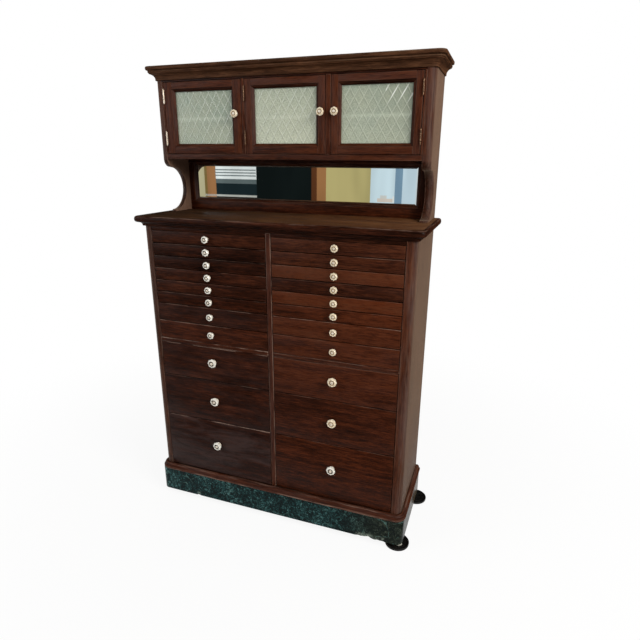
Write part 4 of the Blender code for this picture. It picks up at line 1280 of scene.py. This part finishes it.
def make_doors():
    for number, (stile, knob_inset, closing_hand) in DOORS.items():
        make_door(number, stile, knob_inset, closing_hand)
        metal = BRASS_PAINTED_HIGHLIGHT if number == 1 else BRASS
        for place in ("low", "high"):
            make_hinge(f"door_{number}_hinge_{place}", metal)


MARBLE_OVERHANG = 0.013
MARBLE_THICKNESS = 0.020
MARBLE_CORNER = 0.024
MARBLE_EASE = 0.0015
FRONT_POINTS = 160
# Brown film towards the back of the stone: partly dust, partly a painted reflection of the warm floor
MARBLE_DUST_AND_REFLECTION = 0.5
# Outer face of the stone from its foot up: height, share of a chip's depth, and share of its roughness
MARBLE_FOOT = [(0.0, 1.0, 1.0), (0.007, 0.3, 1.0), (0.013, 0.0, 0.6), (0.019, 0.0, 0.0)]
# Chipped places along the lower edge: x, half width, depth
CHIPS = [(0.318, 0.010, 0.0010), (0.350, 0.024, 0.0020), (0.395, 0.016, 0.0014), (-0.310, 0.008, 0.0010)]
# How much further a chip goes in than up, how far back chips go, and how fast their depth roughens the stone
CHIP_SLANT = 1.2
CHIP_LIMIT = 0.01
CHIP_ROUGH = 800


def marble_plan(inset):
    """Horseshoe's outer line, with close points along the front for the chips."""
    half = HALF_WIDTH + MARBLE_OVERHANG - inset
    front = FRONT_Y - MARBLE_OVERHANG + inset
    left, right = front_corners(half, front, MARBLE_CORNER - inset)
    span = right[0][0] - left[-1][0]
    straight = [(left[-1][0] + span * step / FRONT_POINTS, front) for step in range(1, FRONT_POINTS)]
    return [(-half, BACK_Y), *left, *straight, *right, (half, BACK_Y)]


def chip_depth(x, y):
    if y > FRONT_Y + CHIP_LIMIT:
        return 0.0
    depth = 0.0
    for centre, half, deep in CHIPS:
        ragged = 1 + 0.45 * math.sin(900 * x + 3 * centre) + 0.3 * math.sin(2300 * x)
        depth = max(depth, deep * max(0.0, 1 - ((x - centre) / half) ** 2) * ragged)
    return depth


def make_plinth():
    """Marble round three sides; chips eat into its lower edge and leave it rough and pale there."""
    piece = Piece("plinth_stone", MARBLE)
    outer = marble_plan(0.0)
    inner = marble_plan(MARBLE_THICKNESS)
    top, bottom = PLINTH_TOP, PLINTH_BOTTOM
    rings = [(inner, bottom, 0.0, 0.0)]
    rings += [(outer, bottom + rise, cut, rough) for rise, cut, rough in MARBLE_FOOT]
    rings += [(outer, top - MARBLE_EASE, 0.0, 0.0), (marble_plan(MARBLE_EASE), top, 0.0, 0.0)]
    rings += [(inner, top, 0.0, 0.0)]
    loops, wear, tones = [], [], []
    for plan, height, cut, rough in rings:
        deep = [chip_depth(x, y) for x, y in plan]
        loops.append([(x, y + CHIP_SLANT * cut * d, height + cut * d) for (x, y), d in zip(plan, deep)])
        wear.append([min(1.0, CHIP_ROUGH * d) * rough for d in deep])
        tones.append([(0.0, 0.0, MARBLE_DUST_AND_REFLECTION * (y - FRONT_Y) / (BACK_Y - FRONT_Y)) for _, y in plan])
    verts = piece.skin(loops, loops, tone=tones, wear=wear, closed=True, around=False)
    for end in (0, -1):
        piece.flat([piece.shape.faces.new([ring[end] for ring in verts])], "z")
    piece.make("case", ["plinth_marble"])


# Caster of each foot: where its stem and its roller stand
CASTERS = {
    "front_left": ((-0.436, -0.101), (-0.440, -0.086)),
    "front_right": ((0.436, -0.114), (0.455, -0.139)),
    "rear_left": ((-0.436, 0.1295), (-0.450, 0.134)),
    "rear_right": ((0.436, 0.1295), (0.452, 0.134)),
}
# Radius and height of the rings of the turned shapes, in millimetres
CUP_RINGS = in_metres(
    [
        (34.0, 1.0), (35.0, 0.0), (38.5, 0.0), (40.2, 1.2), (40.8, 3.4), (40.2, 4.4),
        (41.0, 5.6), (41.0, 8.6), (40.2, 9.8), (38.8, 10.0), (37.4, 9.4), (34.0, 5.6),
        (32.5, 4.6), (25.0, 4.2), (24.0, 5.0), (23.0, 4.2), (0.5, 4.0),
    ]
)
ROLLER_RINGS = in_metres(
    [(2.0, -8.0), (8.5, -7.8), (10.1, -6.4), (10.5, 0.0), (10.1, 6.4), (8.5, 7.8), (2.0, 8.0)]
)
STEM_RINGS = in_metres([(4.5, 20.0), (4.8, 23.5), (11.0, 25.0)])
COLLAR_RINGS = in_metres([(9.0, 18.5), (9.8, 20.0), (9.0, 21.5)])
HUB_RINGS = in_metres([(4.5, -0.5), (4.5, 0.5)])
FORK_RINGS = in_metres([(3.8, -0.5), (3.8, 0.5)])
STEM_PLATE = 0.0120
CUP_FLOOR = 0.0042
FORK_ASIDE = 0.0092
FORK_TOP = 0.0200
FORK_STEPS = 8


def make_foot(place, stem, roller):
    """Black cup with a ridged rim, and the small caster that stands in it."""
    node = f"foot_{place}"
    low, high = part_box(node)
    up = (0, 0, 1)
    piece = Piece(node + "_cup", BLACK)
    piece.lathe(((low.x + high.x) / 2, (low.y + high.y) / 2, 0.0), up, CUP_RINGS, 64)
    piece.make("case", [node], sharp=50)

    piece = Piece(node + "_caster", NICKEL, ROLLER)
    foot = Vector((*stem, 0.0))
    hub = Vector((*roller, CUP_FLOOR + max(radius for radius, _ in ROLLER_RINGS)))
    piece.lathe(foot, up, STEM_RINGS + [(STEM_PLATE, high.z)], 32)
    piece.lathe(foot, up, COLLAR_RINGS, 28)
    way = (hub - foot).to_2d().normalized()
    axle = Vector((-way.y, way.x, 0.0))
    piece.lathe(hub, axle, ROLLER_RINGS, 36, slot=1)
    for aside in (-FORK_ASIDE, FORK_ASIDE):
        near = hub + axle * aside
        far = foot + Vector((0.0, 0.0, FORK_TOP)) + axle * aside
        piece.lathe(near, axle, HUB_RINGS, 20)
        for step in range(FORK_STEPS + 1):
            piece.lathe(near.lerp(far, step / FORK_STEPS), axle, FORK_RINGS, 12)
    piece.make("case", [], sharp=40)


def make_feet():
    for place, (stem, roller) in CASTERS.items():
        make_foot(place, stem, roller)


def dress_packed_solids():
    """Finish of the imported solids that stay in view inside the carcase."""
    for name in ("partition", "plinth_frame"):
        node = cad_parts[name]
        node.data.materials.clear()
        node.data.materials.append(RUNNER_WOOD)


CAMERA_PLACE = (0.6665, -1.5446, 1.2581)
CAMERA_YAW = -0.3426
CAMERA_PITCH = 0.3123
CAMERA_ROLL = 0.0067
CAMERA_LENS = 28.29
CAMERA_SENSOR = 36.0


def make_camera():
    data = bpy.data.cameras.new("camera")
    data.lens = CAMERA_LENS
    data.sensor_width = CAMERA_SENSOR
    camera = bpy.data.objects.new("camera", data)
    bpy.context.scene.collection.objects.link(camera)
    level = math.cos(CAMERA_PITCH)
    ahead = Vector((math.sin(CAMERA_YAW) * level, math.cos(CAMERA_YAW) * level, -math.sin(CAMERA_PITCH)))
    right = Vector((math.cos(CAMERA_YAW), -math.sin(CAMERA_YAW), 0.0))
    up = right.cross(ahead)
    turned = right * math.cos(CAMERA_ROLL) + up * math.sin(CAMERA_ROLL)
    upright = up * math.cos(CAMERA_ROLL) - right * math.sin(CAMERA_ROLL)
    columns = Matrix((turned, upright, -ahead)).transposed().to_4x4()
    camera.matrix_world = Matrix.Translation(CAMERA_PLACE) @ columns
    bpy.context.scene.camera = camera


# Area lights: place, target, width and height, energy and colour
LIGHTS = {
    "key": ((3.0, -1.6, 2.7), (0.0, 0.0, 0.9), (1.6, 1.6), 120.0, (1.0, 0.97, 0.93)),
    "fill": ((-2.6, -2.2, 1.9), (0.0, 0.0, 0.7), (1.8, 1.8), 40.0, (0.93, 0.96, 1.0)),
}


def make_lights():
    for name, (place, target, size, energy, colour) in LIGHTS.items():
        data = bpy.data.lights.new(name, "AREA")
        data.shape = "RECTANGLE"
        data.size, data.size_y = size
        data.energy = energy
        data.color = colour
        light = bpy.data.objects.new(name, data)
        bpy.context.scene.collection.objects.link(light)
        light.location = place
        light.rotation_euler = (Vector(target) - Vector(place)).to_track_quat("-Z", "Y").to_euler()


AMBIENT = 0.45


def make_world():
    """White to look at and in glass and metal; a softer level for what it lights."""
    graph = Graph("studio", bpy.data.worlds)
    level = graph.remap(graph.shown(), 0.0, 1.0, AMBIENT, 1.0)
    background = graph.add("Background", Color=(1.0, 1.0, 1.0, 1.0), Strength=level)
    graph.add("OutputWorld", Surface=background.outputs[0])
    bpy.context.scene.world = graph.owner


FLOOR_HALF = 14.0
# The shadow on the floor fades out between these distances; nearer, the floor glows by this share
SHADOW_FADE = (0.6, 2.0)
SHADOW_GLOW = 0.90


def flat_stage(name, corners, material):
    mesh = bpy.data.meshes.new(name)
    mesh.from_pydata(corners, [], [tuple(range(len(corners)))])
    mesh.materials.append(material)
    plane = bpy.data.objects.new(name, mesh)
    bpy.context.scene.collection.objects.link(plane)
    return plane


def make_floor():
    """Pale floor that keeps the shadow near the cabinet and runs into the white behind it."""
    graph = Graph("pale_floor")
    matt = graph.add("BsdfDiffuse", Color=(0.86, 0.86, 0.85, 1.0))
    glow = graph.add("Emission", Color=(1.0, 1.0, 1.0, 1.0), Strength=1.0)
    away = graph.add("VectorMath", {"operation": "LENGTH"}, (graph.place(),)).outputs["Value"]
    fade = graph.remap(away, *SHADOW_FADE, SHADOW_GLOW, 1.0)
    share = graph.math("MULTIPLY", graph.shown(), fade)
    both = graph.add("MixShader", None, (share, matt.outputs[0], glow.outputs[0]))
    half = FLOOR_HALF
    corners = [(-half, -half, 0.0), (half, -half, 0.0), (half, half, 0.0), (-half, half, 0.0)]
    flat_stage("floor", corners, graph.output(both))


# Cards round the cabinet, seen only in its mirror and polish
CARD_HALF = 6.0
CARD_TOP = 3.0
CARD_Y = -2.5
NEARER_CARD_Y = CARD_Y + 0.01
FLOOR_CARD_Y = -0.45
REAR_CARD_Y = 1.2
FLOOR_CARD_Z = 0.002
SIDE_CARD_X = 0.55
BANDS_Z = (0.84, 1.24)
WINDOW_X = (-1.893, -1.473)
FLAG = (0.030, 0.026, 0.022)
LEVEL_FLAG = (0.035, 0.028, 0.022)
REAR_FLAG = (0.040, 0.032, 0.026)
# Cards before the cabinet: x span, z span and colour
CARDS = {
    "flag_low": ((-CARD_HALF, CARD_HALF), (0.0, BANDS_Z[0]), FLAG),
    "flag_high": ((-CARD_HALF, CARD_HALF), (BANDS_Z[1], CARD_TOP), (0.040, 0.036, 0.032)),
    "far_left": ((-CARD_HALF, -3.70), BANDS_Z, FLAG),
    "left_bevel": ((-3.70, -2.80), BANDS_Z, (0.60, 0.57, 0.46)),
    "left_flag": ((-2.80, -2.20), BANDS_Z, FLAG),
    "cream_wall": ((-2.20, -2.014), BANDS_Z, (0.52, 0.47, 0.29)),
    "olive_edge": ((-2.014, -1.987), BANDS_Z, (0.22, 0.15, 0.05)),
    "left_casing": ((-1.987, -1.893), BANDS_Z, (0.36, 0.17, 0.070)),
    "window_blind": (WINDOW_X, (1.065, BANDS_Z[1]), (0.82, 0.86, 0.86)),
    "window_dusk": (WINDOW_X, (1.025, 1.065), (0.12, 0.15, 0.155)),
    "sill_dark": (WINDOW_X, (0.924, 1.025), (0.012, 0.022, 0.026)),
    "sill_light": ((-2.014, -1.473), (0.906, 0.924), (0.50, 0.50, 0.47)),
    "below_sill": (WINDOW_X, (BANDS_Z[0], 0.906), (0.010, 0.009, 0.008)),
    "doorway": ((-1.473, -0.940), BANDS_Z, (0.006, 0.009, 0.009)),
    "right_casing_dark": ((-0.940, -0.890), BANDS_Z, (0.10, 0.035, 0.014)),
    "right_casing": ((-0.890, -0.805), BANDS_Z, (0.32, 0.15, 0.060)),
    "khaki_wall": ((-0.805, -0.410), BANDS_Z, (0.46, 0.39, 0.17)),
    "pale_blue": ((-0.410, -0.202), BANDS_Z, (0.62, 0.76, 0.84)),
    "blue_post": ((-0.202, -0.140), BANDS_Z, (0.20, 0.32, 0.44)),
    "pale_right": ((-0.140, 0.200), BANDS_Z, (0.60, 0.74, 0.84)),
    "right_flag": ((0.200, 0.50), BANDS_Z, FLAG),
    "right_bevel": ((0.50, 0.95), BANDS_Z, (0.62, 0.68, 0.72)),
    "far_right": ((0.95, CARD_HALF), BANDS_Z, FLAG),
}
SLAT_LINES = [1.146, 1.121, 1.096]
SLAT_HALF = 0.005
SLAT_COLOUR = (0.16, 0.19, 0.20)
SEAT = [
    ((-0.345, -0.215), (0.905, 0.935), (0.66, 0.58, 0.52)),
    ((-0.320, -0.265), (0.935, 0.960), (0.62, 0.62, 0.60)),
    ((-0.410, -0.345), (0.885, 0.897), (0.16, 0.20, 0.20)),
    ((-0.215, -0.200), (0.905, 0.955), (0.80, 0.82, 0.80)),
]
# Level cards: left end, near and far edge, and height
LEVEL_CARDS = {
    "flag_floor": (-CARD_HALF, CARD_Y, FLOOR_CARD_Y, FLOOR_CARD_Z),
    "flag_side": (SIDE_CARD_X, FLOOR_CARD_Y, REAR_CARD_Y, FLOOR_CARD_Z),
    "flag_ceiling": (-CARD_HALF, CARD_Y, REAR_CARD_Y, CARD_TOP),
}


def make_cards():
    """Cards that only reflections show; each glows evenly but for a slight drift."""
    cards = [(name, rectangle(x, CARD_Y, z), colour) for name, (x, z, colour) in CARDS.items()]
    for number, z in enumerate(SLAT_LINES):
        slit = rectangle(WINDOW_X, NEARER_CARD_Y, (z - SLAT_HALF, z + SLAT_HALF))
        cards.append((f"slat_line_{number}", slit, SLAT_COLOUR))
    for number, (x, z, colour) in enumerate(SEAT):
        cards.append((f"seat_{number}", rectangle(x, NEARER_CARD_Y, z), colour))
    for name, (left, near, far, height) in LEVEL_CARDS.items():
        ends = [(left, near), (CARD_HALF, near), (CARD_HALF, far), (left, far)]
        cards.append((name, [(x, y, height) for x, y in ends], LEVEL_FLAG))
    rear = rectangle((-CARD_HALF, CARD_HALF), REAR_CARD_Y, (0.0, CARD_TOP))
    cards.append(("flag_rear", rear, REAR_FLAG))
    for name, corners, colour in cards:
        graph = Graph(name)
        drift = graph.remap(graph.noise(graph.stretch(graph.place(), (7.0, 7.0, 1.5)), detail=1.0), 0.3, 0.7)
        shaded = graph.mix(drift, tuple(0.88 * c for c in colour), tuple(min(1.0, 1.10 * c) for c in colour))
        card = flat_stage(name, corners, graph.output(graph.add("Emission", Color=shaded, Strength=1.0)))
        card.visible_camera = False
        card.visible_diffuse = False
        card.visible_transmission = False
        card.visible_shadow = False


make_mouldings()
make_lower_sides()
make_lower_frame()
make_backs()
make_upper_sides()
make_upper_frame()
make_mirror()
make_drawers()
make_doors()
make_plinth()
make_feet()
dress_packed_solids()

make_camera()
make_world()
make_floor()
make_cards()
make_lights()
bpy.context.scene.view_settings.view_transform = "Standard"
